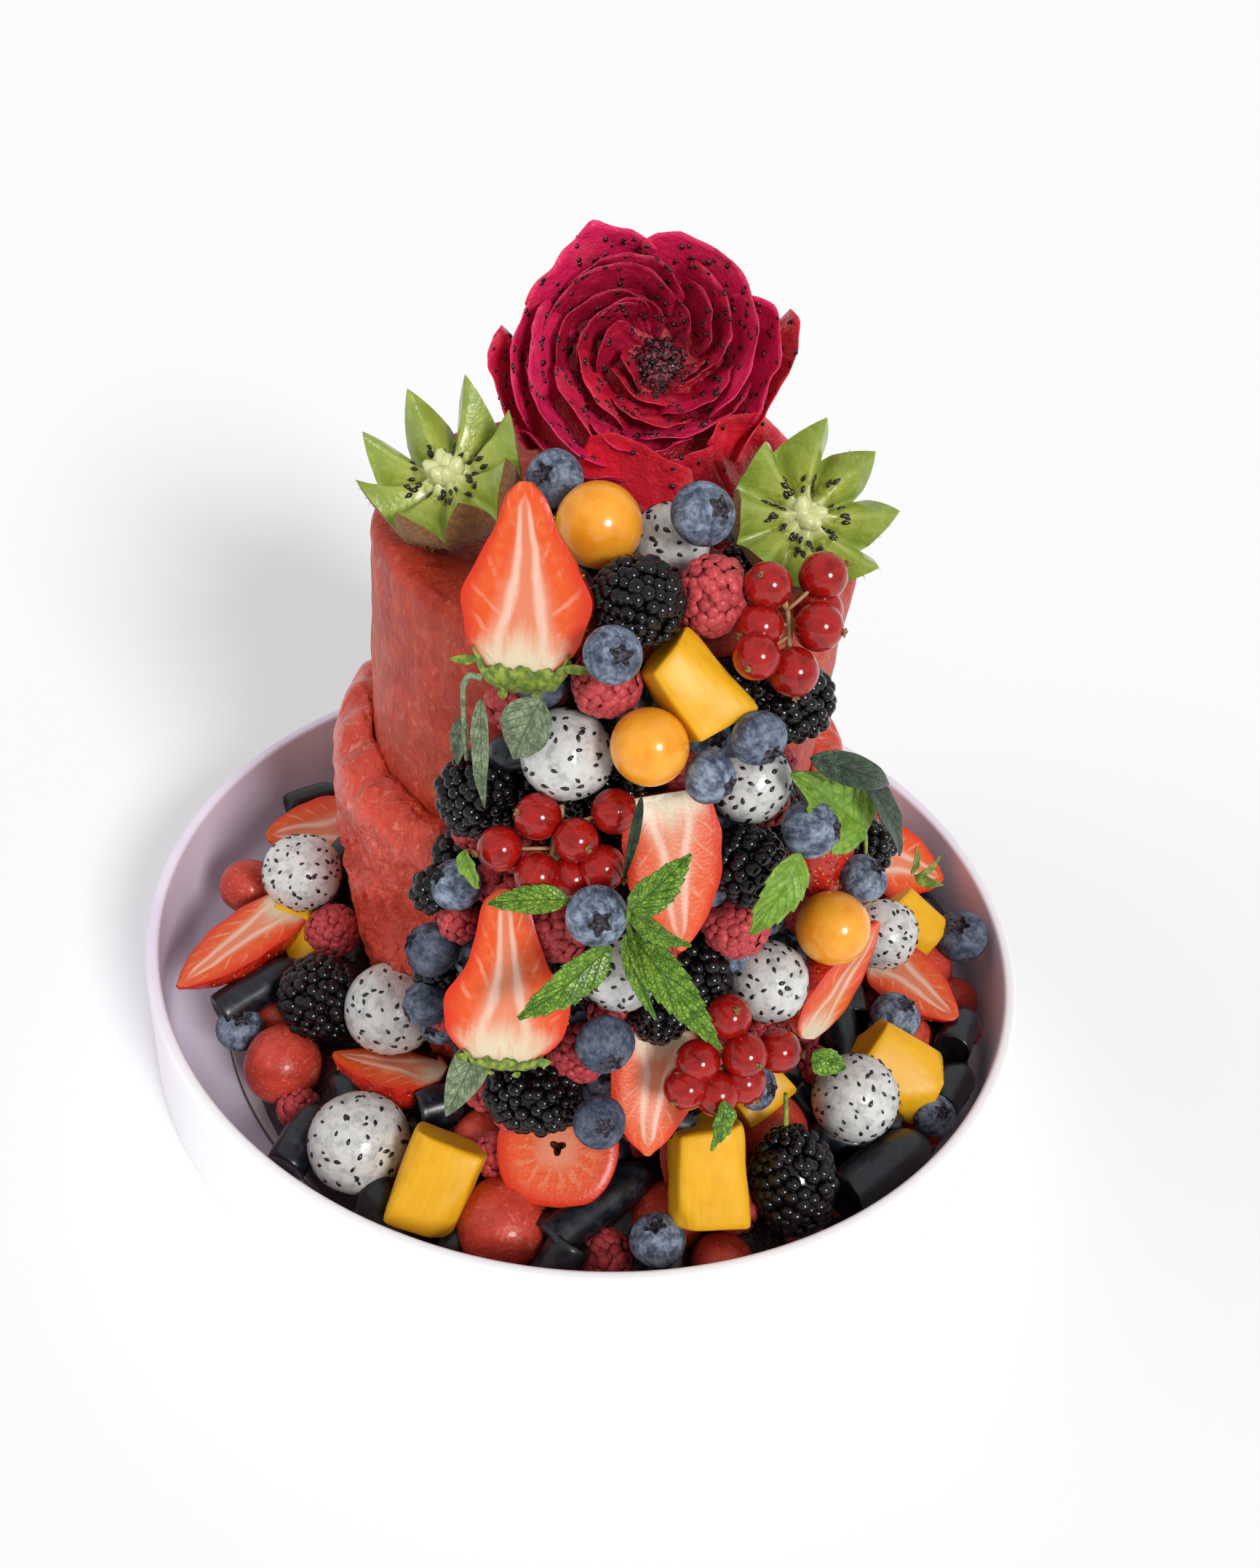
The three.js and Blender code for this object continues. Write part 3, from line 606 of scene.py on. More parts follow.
def sheet_between(top, bottom, finish, local=None):
    """A thin closed solid between two grids of points that match."""
    top, bottom = np.asarray(top, float), np.asarray(bottom, float)
    rows, cols = top.shape[:2]
    index = np.arange(rows * cols).reshape(rows, cols)
    quads = np.stack([index[:-1, :-1], index[:-1, 1:], index[1:, 1:], index[1:, :-1]], -1).reshape(-1, 4)
    under = quads[:, ::-1] + rows * cols
    rim = np.concatenate([index[0, :], index[1:, -1], index[-1, -2::-1], index[-2:0:-1, 0]])
    following = np.roll(rim, -1)
    walls = np.stack([rim, rim + rows * cols, following + rows * cols, following], -1)
    points = np.concatenate([top.reshape(-1, 3), bottom.reshape(-1, 3)])
    if local is not None:
        local = np.concatenate([np.asarray(local, float).reshape(-1, 3)] * 2)
    return Shape(points, np.concatenate([quads, under, walls]), finish, local)


def turns(sides):
    """Angles all the way round."""
    return np.arange(sides) / sides * TAU


def points_at(x, y, z=0.0):
    return np.stack(np.broadcast_arrays(x, y, z), -1).astype(float)


def ring(out, turn, height):
    """Points at that distance from the Z axis and that height, at each angle."""
    return points_at(out * np.cos(turn), out * np.sin(turn), height)


def frames(points, ways, rng=None, scales=1.0):
    """Matrices at points whose Z axis looks each way, turned at random about it."""
    points, ways = np.asarray(points, float), unit(ways)
    spare = np.where(np.abs(ways[:, 2:3]) > 0.9, [[1.0, 0, 0]], [[0, 0, 1.0]])
    side = unit(np.cross(spare, ways))
    along = np.cross(ways, side)
    turn = np.zeros(len(ways)) if rng is None else rng.uniform(0, TAU, len(ways))
    cos, sin = np.cos(turn)[:, None], np.sin(turn)[:, None]
    made = np.tile(np.eye(4), (len(ways), 1, 1))
    size = np.broadcast_to(np.asarray(scales, float), (len(ways),))[:, None]
    made[:, :3, 0] = (side * cos + along * sin) * size
    made[:, :3, 1] = (along * cos - side * sin) * size
    made[:, :3, 2] = ways * size
    made[:, :3, 3] = points
    return made


def spread(count):
    """Ways spread evenly over a sphere, from +Y down to -Y."""
    share = (np.arange(count) + 0.5) / count
    height = 1 - 2 * share
    turn = np.arange(count) * GOLDEN
    around = np.sqrt(1 - height**2)
    return np.stack([around * np.cos(turn), height, around * np.sin(turn)], 1)


def globe(rings, sides, start=0.0):
    """Rows of ways over a sphere from -Z towards +Z, from that angle on."""
    polar = (start + (np.arange(rings) + 0.5) / rings * (math.pi - start))[:, None]
    return ring(np.sin(polar), turns(sides), -np.cos(polar))


def ripple(points, size, seed, waves=7):
    """A smooth uneven number from about -1 to 1 over space, with bumps about that size."""
    rng = dice("ripple", seed)
    ways = unit(rng.normal(size=(waves, 3))) * TAU / (size * rng.uniform(1.2, 2.6, (waves, 1)))
    return np.sin(np.asarray(points) @ ways.T + rng.uniform(0, TAU, waves)).sum(-1) / math.sqrt(waves)


def build(name, shape, replaces=()):
    """Makes the piece in the frame of the CAD part."""
    mesh = bpy.data.meshes.new(name)
    loops = shape.faces.ravel()
    loops = loops[loops >= 0].astype(np.int32)
    sizes = np.where(shape.faces[:, 3] < 0, 3, 4)
    starts = np.concatenate([[0], np.cumsum(sizes)[:-1]]).astype(np.int32)
    mesh.vertices.add(len(shape.points))
    mesh.vertices.foreach_set("co", (shape.points * MM).astype(np.float32).ravel())
    mesh.loops.add(len(loops))
    mesh.loops.foreach_set("vertex_index", loops)
    mesh.polygons.add(len(sizes))
    mesh.polygons.foreach_set("loop_start", starts)
    used, index = np.unique(shape.finish, return_inverse=True)
    by_index = {finish.index: finish.material for finish in Finish.made.values()}
    for number in used:
        mesh.materials.append(by_index[int(number)])
    mesh.polygons.foreach_set("material_index", index.astype(np.int32))
    mesh.polygons.foreach_set("use_smooth", np.ones(len(sizes), bool))
    mesh.update(calc_edges=True)
    for field in ("local", "grain"):
        carried = mesh.attributes.new(field, "FLOAT_VECTOR", "POINT")
        carried.data.foreach_set("vector", getattr(shape, field).astype(np.float32).ravel())
    tone = mesh.attributes.new("tone", "FLOAT", "POINT")
    tone.data.foreach_set("value", shape.tone.astype(np.float32))
    mesh.validate()
    piece = bpy.data.objects.new(name, mesh)
    bpy.context.collection.objects.link(piece)
    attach(piece, "root")
    if replaces:
        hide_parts(*replaces)


# ---- Fruit
def leaning(across, up):
    """A turn that moves what faces +Z off to the side by these shares of a radius."""
    away = min(0.98, math.hypot(across, up))
    way = np.array([[across, up, math.sqrt(1 - away**2)]])
    return frames(np.zeros((1, 3)), way)[0]


def blueberry(radius, seed, lean=None):
    """A berry with a five-pointed crown round a sunken middle."""
    rng = dice("blueberry", seed)
    sides = 30
    turn = turns(sides)
    star = 1 + 0.26 * np.cos(5 * turn + rng.uniform(0, TAU)) + 0.06 * np.sin(2 * turn + rng.uniform(0, TAU))
    flat = rng.uniform(0.86, 0.95)
    rim = 0.36 * radius
    rows = []
    polars = np.linspace(0.06, 0.97, 19) * math.pi
    for polar in polars[polars < math.pi - 0.42]:
        near = max(0.0, (polar - (math.pi - 1.0)) / 0.58) ** 2
        out = radius * math.sin(polar) * (1 + (star - 1) * near * 0.5)
        rows.append((out, -radius * flat * math.cos(polar)))
    top = radius * flat * math.cos(0.4)
    skin_rows = len(rows)
    for share, lift in ((1.0, 0.07), (0.86, 0.10), (0.78, -0.05), (0.5, -0.12), (0.15, -0.10)):
        wavy = 1 + 0.5 * rng.uniform(-0.3, 0.3, sides) * (share < 0.9)
        spread_out = star if share > 0.6 else 1 + (star - 1) * 0.4
        rows.append((rim * share * spread_out, top + radius * lift * wavy))
    points = np.stack([ring(out, turn, z) for out, z in rows])
    dents = 1 + 0.018 * ripple(points, radius * 0.9, seed)[..., None]
    points[:skin_rows] *= dents[:skin_rows]
    skin = woven(points[: skin_rows + 1], "berry_bloom", caps=(True, False))
    crown = woven(points[skin_rows:], "berry_crown", caps=(False, True))
    if lean is None:
        away, aside = rng.uniform(0, 0.75), rng.uniform(0, TAU)
        lean = (away * math.cos(aside), away * math.sin(aside))
    return together([skin, crown]).moved(leaning(*lean))


def physalis(radius, seed):
    ways = globe(24, 36)
    dents = 1 + 0.006 * ripple(ways * radius, radius, seed)[..., None]
    return woven(ways * radius * dents, "physalis_skin")


def melon_ball(radius, seed):
    """A ball scooped from melon, with a flat where the scoop closed."""
    ways = globe(18, 28)
    points = ways * radius * (1 + 0.025 * ripple(ways * radius, radius * 0.8, seed)[..., None])
    points[..., 2] = np.maximum(points[..., 2], -0.86 * radius)
    return woven(points, "melon_flesh_ball").moved(leaning(*dice("scoop", seed).uniform(-0.5, 0.5, 2)))


def seed_drop(length, width, proud, finish="black_seed"):
    """A drop-shaped seed lying in a surface at z 0."""
    turn = turns(6)
    rows = []
    for share in (0.08, 0.36, 0.68, 0.95):
        half = width / 2 * math.sin(math.pi * share**0.75) ** 0.8
        x, z = half * np.cos(turn), proud * np.sin(turn) * half / (width / 2)
        rows.append(points_at(-x, length * (share - 0.5), z))
    return woven(rows, finish)


def pitaya_ball(radius, seed, seeds=105):
    """A ball of white pitaya flesh, its seeds half sunk in it."""
    rng = dice("white pitaya", seed)
    ways = globe(20, 32)
    points = ways * radius * (1 + 0.02 * ripple(ways * radius, radius * 0.7, seed)[..., None])
    body = woven(points, "white_pitaya_flesh")
    where = unit(spread(seeds) + rng.normal(size=(seeds, 3)) * 0.11)
    where = where[where[:, 2] > -0.3]
    level = 1 + 0.02 * ripple(where * radius, radius * 0.7, seed)[:, None]
    sizes = rng.uniform(0.7, 1.15, len(where))
    # The seeds lie much the same way round.
    spots = frames(where * radius * level * 0.997, where, None, sizes)
    turn = rng.normal(size=len(where)) * 0.7
    cos, sin = np.cos(turn)[:, None], np.sin(turn)[:, None]
    x, y = spots[:, :3, 0].copy(), spots[:, :3, 1].copy()
    spots[:, :3, 0], spots[:, :3, 1] = x * cos + y * sin, y * cos - x * sin
    return together([body, scattered(seed_drop(2.2, 1.25, 0.4), spots, rng)])


def drupelet_berry(radius, stretch, pitch, finish, seed, back, taper=0.0, proud=0.9):
    """A berry of drupelets packed over an egg-shaped body, without those that look further back than that."""
    rng = dice(finish, seed)
    inner = radius - pitch * 0.34
    area = 4 * math.pi * inner**2 * (1 + (stretch - 1) * 0.8)
    count = int(area / (0.8 * pitch**2))
    ways = spread(count)
    egg = np.array([1, stretch, 1])
    shape = lambda w: w * (1 - taper * w[..., 1:2] - 0.05 * np.abs(w[..., 1:2]) ** 3) * egg
    dome = globe(4, 8, 0.38 * math.pi)
    core = woven(shape(globe(10, 16)) * (inner - pitch * 0.25), finish).toned(0.9)
    bead = woven(dome * np.array([1, 1, proud]) * pitch * 0.6, finish, caps=(False, True))
    ways = ways[ways[:, 2] > back]
    ways = unit(ways + rng.normal(size=ways.shape) * 0.16 * pitch / radius)
    out = unit(ways / egg + (0, taper * 0.8, 0))
    sizes = rng.uniform(0.78, 1.12, len(ways)) * (1 - 0.2 * np.abs(ways[:, 1]) ** 4)
    depths = rng.uniform(0.02, 0.2, (len(ways), 1))
    spots = frames(shape(ways) * inner - out * pitch * depths, out, rng, sizes)
    return together([core, scattered(bead, spots, rng)])


def bramble(radius, stretch, seed, pitch, back=-0.45):
    return drupelet_berry(radius, stretch, pitch, "bramble_black", seed, back)


def raspberry(radius, stretch, seed, pitch=3.0, back=-0.45):
    return drupelet_berry(radius, stretch, pitch, "raspberry_red", seed, back, 0.14, 0.55)


# Half-widths of strawberries as shares of the widest, from the shoulder at 0 to the tip at 1.
OUTLINES = {
    "plain": (
        (0, 0.03, 0.1, 0.2, 0.32, 0.5, 0.7, 0.85, 0.95, 1),
        (0.28, 0.5, 0.78, 0.94, 1, 0.93, 0.7, 0.47, 0.27, 0.06),
    ),
    "bell": (
        (0, 0.02, 0.1, 0.2, 0.29, 0.38, 0.46, 0.54, 0.63, 0.75, 0.87, 0.96, 1),
        (0.5, 0.6, 0.77, 0.91, 0.98, 1, 0.95, 0.83, 0.67, 0.48, 0.36, 0.24, 0.05),
    ),
    "pear": (
        (0, 0.04, 0.1, 0.18, 0.28, 0.38, 0.48, 0.58, 0.7, 0.82, 0.92, 0.98, 1),
        (0.46, 0.6, 0.78, 0.93, 1, 0.96, 0.78, 0.6, 0.5, 0.43, 0.34, 0.18, 0.05),
    ),
    "straight": (
        (0, 0.05, 0.15, 0.3, 0.5, 0.65, 0.8, 0.92, 1),
        (0.75, 0.86, 0.96, 1, 0.97, 0.86, 0.62, 0.34, 0.05),
    ),
}


def strawberry_width(t, outline="plain"):
    """Half-width as a share of the widest, from the shoulder at 0 to the tip at 1."""
    shares, widths = OUTLINES[outline]
    shifts = (-0.03, -0.015, 0, 0.015, 0.03)
    near = [np.interp(np.clip(np.asarray(t) + shift, 0, 1), shares, widths) for shift in shifts]
    return np.mean(near, axis=0)


def narrowing(t, outline="plain"):
    """How fast the half-width grows there."""
    return (strawberry_width(t + 0.02, outline) - strawberry_width(t - 0.02, outline)) / 0.04


def achenes(points, ways, rng):
    spots = frames(points, ways, None, rng.uniform(0.85, 1.15, len(points)))
    return scattered(seed_drop(1.3, 0.8, 0.35, "strawberry_seed"), spots, rng)


def calyx(seed, leaves, length):
    """Green sepals round a strawberry's shoulder: they grow from the origin, away from +Y."""
    rng = dice("calyx", seed)
    parts = []
    for i in range(leaves):
        turn = i / leaves * TAU + rng.uniform(-0.2, 0.2)
        long = length * rng.uniform(0.75, 1.2)
        t = np.linspace(0, 1, 8)[:, None]
        s = np.linspace(-1, 1, 5)[None, :]
        half = 1.7 * np.sin(math.pi * (0.12 + 0.88 * t) ** 0.7) ** 0.9
        lift = rng.uniform(-1.2, 1.4) * t**2 * 2 - 0.35 * (1 - np.abs(s)) * 1.5 - 1.0 * np.sin(math.pi * t)
        top = points_at(half * s, -lift, long * t * (1 - 0.1 * t))
        blade = sheet_between(top, top - (0, 0.35, 0), "calyx_green", points_at(s, t))
        c, n = math.cos(turn), math.sin(turn)
        parts.append(blade.moved(axes((c, 0, -n), (0, 1, 0), (n, 0, c))).toned(rng.uniform()))
    return together(parts)


def cut_calyx(length, width, across, tall, outline, seed):
    """What is left of the green top on a halved strawberry: a bowl under its shoulder, and a few sepals."""
    rng = dice("cut calyx", seed)
    t = np.linspace(0, 0.3, 60)
    rise = lambda x: np.interp(np.abs(x), strawberry_width(t, outline) * width / 2, t * length)
    x = np.linspace(-0.5, 0.5, 61) * across
    v = np.linspace(0, 1, 9)[:, None]
    wave = rng.uniform(0, TAU, 4)
    top = rise(x) + 1.0 + 0.5 * np.sin(1.1 * x + wave[0]) + 0.25 * np.sin(2.7 * x + wave[1])
    bowl = np.sqrt(np.maximum(0, 1 - (2 * x / across) ** 2))
    bottom = np.minimum(rise(x) * 0.75 - tall * bowl + 0.2 * np.sin(1.9 * x + wave[2]), top - 0.6)
    y = top + (bottom - top) * v
    z = 0.7 + 0.9 * np.sin(math.pi * v * 0.8) * bowl - 3.0 * v**2.5
    z = z + 0.22 * np.sin(1.7 * x + 2.0 * v + wave[3])
    band = points_at(x, y - length / 2, z)
    parts = [sheet_between(band, band - (0, 0, 1.2), "calyx_green")]
    for share, lean, long in ((-0.9, 84, 1.3), (0.9, -88, 1.5), (-0.3, 12, 0.6), (0.35, -20, 0.7)):
        foot = share * across / 2
        lean = math.pi - math.radians(lean)
        cos, sin = math.cos(lean), math.sin(lean)
        below = 0.75 * tall if abs(share) < 0.5 else -0.2
        spot = (foot, float(rise(foot)) * 0.8 - length / 2 - below, rng.uniform(0.2, 0.6))
        at = axes((cos, sin, 0), (-sin, cos, 0), (0, 0, 1), spot)
        sepal = leaf("calyx_green", tall * long, 2.6, f"{seed}{share}", rng.uniform(0.2, 0.7), 0.4, 0)
        parts.append(sepal.moved(at))
    return together(parts).toned(rng.uniform())


# How far the cut face of a strawberry sinks at its edge.
SAG = 0.55


def strawberry_half(length, width, depth, seed, outline="plain"):
    """Half a strawberry: its cut face on +Z, its skin with its seeds behind."""
    rng = dice("strawberry", seed)
    t = np.concatenate([[0.0], np.linspace(0.003, 0.997, 30), [1.0]])
    wide = strawberry_width(t, outline)
    wide[0] = wide[-1] = 0
    bent = 0.02 * width * np.sin(t * 5 + rng.uniform(0, TAU))
    s = np.linspace(-1, 1, 15)
    half = wide * width / 2 * (1 + 0.018 * np.sin(24 * t + rng.uniform(0, TAU)))
    along = length * (t - 0.5)[:, None]
    face = points_at(bent[:, None] + half[:, None] * s, along, -SAG * np.abs(s) ** 6)
    face[..., 2] += 0.18 * ripple(face, 6, seed) * (1 - s**4)
    cut = patch(face, "strawberry_cut", points_at(s, t[:, None]))
    turn = np.linspace(0, math.pi, 13)
    behind = -SAG - depth * wide[:, None] * np.sin(turn) ** 0.9
    back = points_at(bent[:, None] - half[:, None] * np.cos(turn), along, behind)
    back[:, 0, 2] = back[:, -1, 2] = -SAG
    skin = patch(back[:, ::-1], "strawberry_skin", points_at(turn, t[:, None])[:, ::-1])
    spots, ways = [], []
    for i, share in enumerate(np.arange(0.1, 0.95, 3.1 / length)):
        w = strawberry_width(share, outline)
        steps = max(2, int(w * (width + 2 * depth) / 2.1 / 3.4))
        slope = narrowing(share, outline)
        for k in range(steps):
            a = math.pi * (k + (0.35 if i % 2 else 0.75)) / (steps + 0.1)
            x = np.interp(share, t, bent) - w * width / 2 * math.cos(a) * 0.985
            spots.append((x, length * (share - 0.5), -0.6 - depth * w * math.sin(a) ** 0.9 * 0.985))
            ways.append((-math.cos(a) / width * 2, -slope * 0.5 / length * 2, -math.sin(a) / depth))
    return together([cut, skin, achenes(spots, ways, rng)])


def strawberry_whole(length, width, seed):
    rng = dice("whole strawberry", seed)
    t = np.linspace(0.004, 0.996, 26)
    turn = turns(28)
    half = strawberry_width(t)[:, None] * width / 2 * (1 + 0.03 * np.cos(2 * turn))
    points = points_at(half * np.cos(turn), length * (t - 0.5)[:, None], -half * np.sin(turn))
    skin = woven(points, "strawberry_skin", points_at(turn, t[:, None]))
    rows, ways = [], []
    for i, share in enumerate(np.arange(0.1, 0.95, 3.2 / length)):
        w = strawberry_width(share) * width / 2
        steps = max(3, int(TAU * w / 3.6))
        for k in range(steps):
            a = TAU * (k + 0.5 * (i % 2)) / steps
            rows.append((w * math.cos(a) * 0.99, length * (share - 0.5), w * math.sin(a) * 0.99))
            ways.append((math.cos(a), -narrowing(share) * width / 2 / length, math.sin(a)))
    return together([skin, achenes(rows, ways, rng)])


def strawberry_round(radius, thick, seed):
    """A slice cut across a strawberry, with the hole of its core."""
    rng = dice("round slice", seed)
    sides = 48
    turn = turns(sides)
    uneven = 1 + 0.03 * np.sin(3 * turn + seed) + 0.02 * np.sin(5 * turn)

    def row(share, sunk, lobes=0.0):
        return ring(radius * share * uneven * (1 + lobes * np.sin(3 * turn)), turn, -sunk)

    shares = (1.0, 0.97, 0.8, 0.6, 0.42, 0.26, 0.11)
    local = [ring(share, turn, 1) for share in shares]
    rows = [row(share, 0.5 * (share == 1.0), 0.35 * (share < 0.2)) for share in shares]
    cut = woven(rows, "strawberry_cut", local, caps=(False, False))
    hole = [row(0.11, 0, 0.35), row(0.09, 0.7, 0.3), row(0.06, 4)]
    hole = woven(hole, "strawberry_hollow", caps=(False, True))
    profile = ((0.5, thick), (0.78, thick), (0.93, thick * 0.75), (1.0, thick * 0.3), (1.0, 0.5))
    wall = [row(share, sunk) for share, sunk in profile]
    skin = woven(wall, "strawberry_skin", np.array(wall) * 0 + 0.5, caps=(True, False))
    spots, ways = [], []
    for i, z in enumerate(np.arange(1.6, thick, 2.8)):
        for k in range(26):
            a = TAU * (k + 0.5 * (i % 2)) / 26
            out = radius * (1.0 - 0.1 * (z / thick) ** 2) * 0.99
            spots.append((out * math.cos(a), out * math.sin(a), -z))
            ways.append((math.cos(a), math.sin(a), -0.1))
    return together([cut, hole, skin, achenes(spots, ways, rng)])


def mango_chunk(width, length, depth, seed):
    """A chunk cut with a knife: a block whose corners were taken off in flat facets."""
    rng = dice("mango", seed)
    shares = np.sin(np.linspace(-1, 1, 13) * math.pi / 2 * 0.98)
    u, v = np.meshgrid(shares, shares, indexing="ij")
    one = np.ones_like(u)
    sides = [(u, v, one), (v, u, -one), (one, u, v), (-one, v, u), (v, one, u), (u, -one, v)]
    box = np.array([width, length, depth]) / 2
    corner = 0.09 * min(width, length, depth)
    skew = rng.uniform(-0.12, 0.12, 3)
    cuts = [rng.choice((-1, 1), 3) * rng.uniform((0.5, 0.1, 0.5), 1.0) for _ in range(5)]
    cuts.append(np.array([rng.choice((-1, 1)), 0.1, 0.9]))
    parts = []
    for x, y, z in sides:
        cube = np.stack([x, y, z], -1)
        inner = np.clip(cube * box, -(box - corner), box - corner)
        out = unit(cube * box - inner + 1e-9)
        points = inner + out * corner
        share = points / box
        pinch = 0.10 * np.maximum(0, share[..., 2]) * np.abs(share[..., 0])
        points[..., 0] *= 1 + skew[0] * share[..., 1] - pinch
        points[..., 1] *= 1 + skew[1] * share[..., 0]
        points[..., 2] *= 1 + skew[2] * share[..., 1] + 0.06 * (1 - share[..., 0] ** 2)
        for number, cut in enumerate(cuts):
            way = unit(cut / box)
            over = points @ way - (np.abs(way) @ box) * (0.66 + 0.03 * number)
            points -= way * np.maximum(over, 0)[..., None] * 0.96
        points += out * 0.22 * ripple(points, 8, seed)[..., None]
        parts.append(patch(points, "mango_flesh"))
    return together(parts)


def rod(path, radii, finish, sides=7):
    """A round rod along a path of points."""
    path = np.asarray(path, float)
    radii = np.broadcast_to(np.asarray(radii, float), (len(path),))
    ahead = unit(np.gradient(path, axis=0))
    side = unit(np.cross(ahead, (0.31, 0.22, 0.93)))
    up = np.cross(ahead, side)
    turn = turns(sides)
    ring = side[:, None] * np.cos(turn)[None, :, None] + up[:, None] * np.sin(turn)[None, :, None]
    return woven(path[:, None] + ring * radii[:, None, None], finish)


def currant(radius, seed):
    """A currant with the dried flower at its tip, which looks along +Z."""
    ways = globe(18, 26)
    berry = woven(ways * radius, "currant_skin", ways)
    rng = dice("currant", seed)
    tufts = []
    for i in range(6):
        turn = i / 6 * TAU + rng.uniform(-0.3, 0.3)
        out = rng.uniform(0.7, 1.3)
        tip = np.array([out * math.cos(turn), out * math.sin(turn), radius + rng.uniform(0.3, 1.3)])
        path = [(0, 0, radius - 0.4), tip * (0.5, 0.5, 1) + (0, 0, -0.2), tip]
        tufts.append(rod(path, (0.55, 0.45, 0.12), "dried_tip", 5))
    return together([berry, *tufts])


def currant_sprig(radius, places, seed):
    rng = dice("sprig", seed)
    depth = -2
    y = np.linspace(-9.5, 9.5, 12)
    stem = points_at(0.6 * np.sin(y * 0.3), y, depth + 0.4 * np.cos(y * 0.5))
    parts = [rod(stem, np.linspace(0.95, 0.6, 12), "currant_stalk")]
    for i, place in enumerate(places):
        x, y, z = (*place, 0)[:3]
        end = np.array([x, y, z], float)
        foot = np.array([0, y * 0.4, depth], float)
        mid = (foot + end) / 2 + (0, 0, 0.8)
        path = [foot, (foot + mid) / 2 + (0, 0, 0.3), mid, (mid + end) / 2, end]
        parts.append(rod(path, 0.5, "currant_stalk", 6))
        away = unit(end - foot + (0, -2.5, 1.2 + rng.uniform(-2, 6)))
        spot = frames([end], [away], rng)[0]
        parts.append(currant(radius * rng.uniform(0.94, 1.02), f"{seed}{i}").moved(spot).toned(rng.uniform()))
    return together(parts)


def grape(radius, long, seed, bend):
    """A long dark grape, blunt at its tip at +Y and cut off at the other end."""
    cut = ((0.25, 1.2), (0.55, 0.9), (0.8, 0.25), (0.9, 0.0), (0.97, 0.35))
    rows = [(share, -long + sunk) for share, sunk in cut]
    for share in np.sin(np.linspace(-0.42, 0.5, 14) * math.pi):
        rows.append(((1 - max(0.0, share) ** 3.4) ** 0.5, share * (long - 1.2)))
    turn = turns(22)
    points = np.array([points_at(out * np.cos(turn), y, -out * np.sin(turn)) for out, y in rows])
    dents = 1 + 0.035 * ripple(points * (radius, 0.4, radius), radius * 1.4, seed)[..., None]
    points[..., ::2] *= radius * dents
    points[..., 0] += bend * (points[..., 1] / long) ** 2
    return woven(points, "grape_skin")


# ---- Leaves
def leaf(finish, length, width, seed, curl, fold, teeth):
    """A leaf from its stalk at the origin towards +Y, its upper side on +Z."""
    rng = dice("leaf", seed)
    toothed = teeth > 3
    t = np.linspace(0, 1, max(teeth, 5) * 4 + 1)[:, None]
    s = np.linspace(-1, 1, 17)[None, :]
    outline = np.sin(math.pi * t**0.72) ** 0.82 * (1 - 0.15 * t)
    outline = np.maximum(outline, 0.06 * (1 - t))
    saw = ((t * teeth) % 1.0) if toothed else 0 * t
    jag = 1 + (0.15 * saw - 0.06) * (np.abs(s) ** 3) * np.sin(math.pi * np.clip(t, 0.02, 1)) ** 0.3
    half = width / 2 * outline
    x = half * s * jag
    y = length * (t + 0.05 * saw * np.abs(s) ** 3)
    lines = (t * 8 - np.abs(s) * 2.6) % 1.0
    quilt = np.sin(math.pi * lines) * np.sin(math.pi * np.abs(s)) ** 0.5 * np.sin(math.pi * t) ** 0.4
    z = fold * width * np.abs(s) ** 1.3 * outline * 0.5 + quilt * width * (0.06 if toothed else 0.02)
    z = z + 0.035 * width * np.sin(t * 17 + rng.uniform(0, TAU)) * np.abs(s) ** 2
    arc = np.where(np.abs(curl * t) < 1e-6, 1e-6, curl * t)
    top = points_at(x, y, z)
    top[..., 1] += np.sin(arc) / arc * length * t - length * t
    top[..., 2] -= (1 - np.cos(arc)) / arc * length * t
    top[..., 2] += 0.04 * width * ripple(top, length * 0.3, seed)
    return sheet_between(top, top - (0, 0, 0.4), finish, points_at(s, t)).toned(rng.uniform())


def curved_stem(points, radii, finish):
    """A stalk along a smooth line through a few points."""
    points = np.asarray(points, float)
    t = np.linspace(0, len(points) - 1, 6 * len(points))
    path = np.stack([np.interp(t, range(len(points)), points[:, k]) for k in range(3)], 1)
    for _ in range(4):
        path[1:-1] = (path[:-2] + 2 * path[1:-1] + path[2:]) / 4
    return rod(path, np.interp(t, [0, len(points) - 1], radii), finish)


# ---- Places
@functools.cache
def box(node):
    """A CAD node's lowest and highest corner, in millimetres."""
    low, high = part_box(node)
    return np.array(low) / MM, np.array(high) / MM


def middle(node):
    low, high = box(node)
    return (low + high) / 2


TOWER = middle("upper_tier")[:2]
UPPER_RADIUS, UPPER_TOP = 66.0, 186.0
# Heights on the lower tier: where its wall ends, where it would be widest, and where it meets the upper tier.
WALL_TOP, WIDEST, SHOULDER = 108, 112, 116
FOOT_RADIUS, LIP_RADIUS = 67, 78


def facing(point, angle, tilt, spin=0.0):
    """A matrix at a point whose Z axis looks outwards at an angle round the cake, 0 at the front and
    positive towards the right, and up by the tilt. Spin turns it about that axis."""
    a, t, s = (math.radians(x) for x in (angle, tilt, spin))
    out = (math.sin(a) * math.cos(t), -math.cos(a) * math.cos(t), math.sin(t))
    up = np.array((-math.sin(a) * math.sin(t), math.cos(a) * math.sin(t), math.cos(t)))
    return axes(*swung(np.cross(up, out), up, s), out, point)


def lying(start, end, towards=(0, -0.45, 0.9)):
    """A matrix half-way between two points: Y runs from the first to the second, and Z looks that way."""
    start, end = np.array(start, float), np.array(end, float)
    along = unit(end - start)
    out = unit(np.array(towards, float) - along * (along @ towards))
    return axes(np.cross(along, out), along, out, (start + end) / 2)


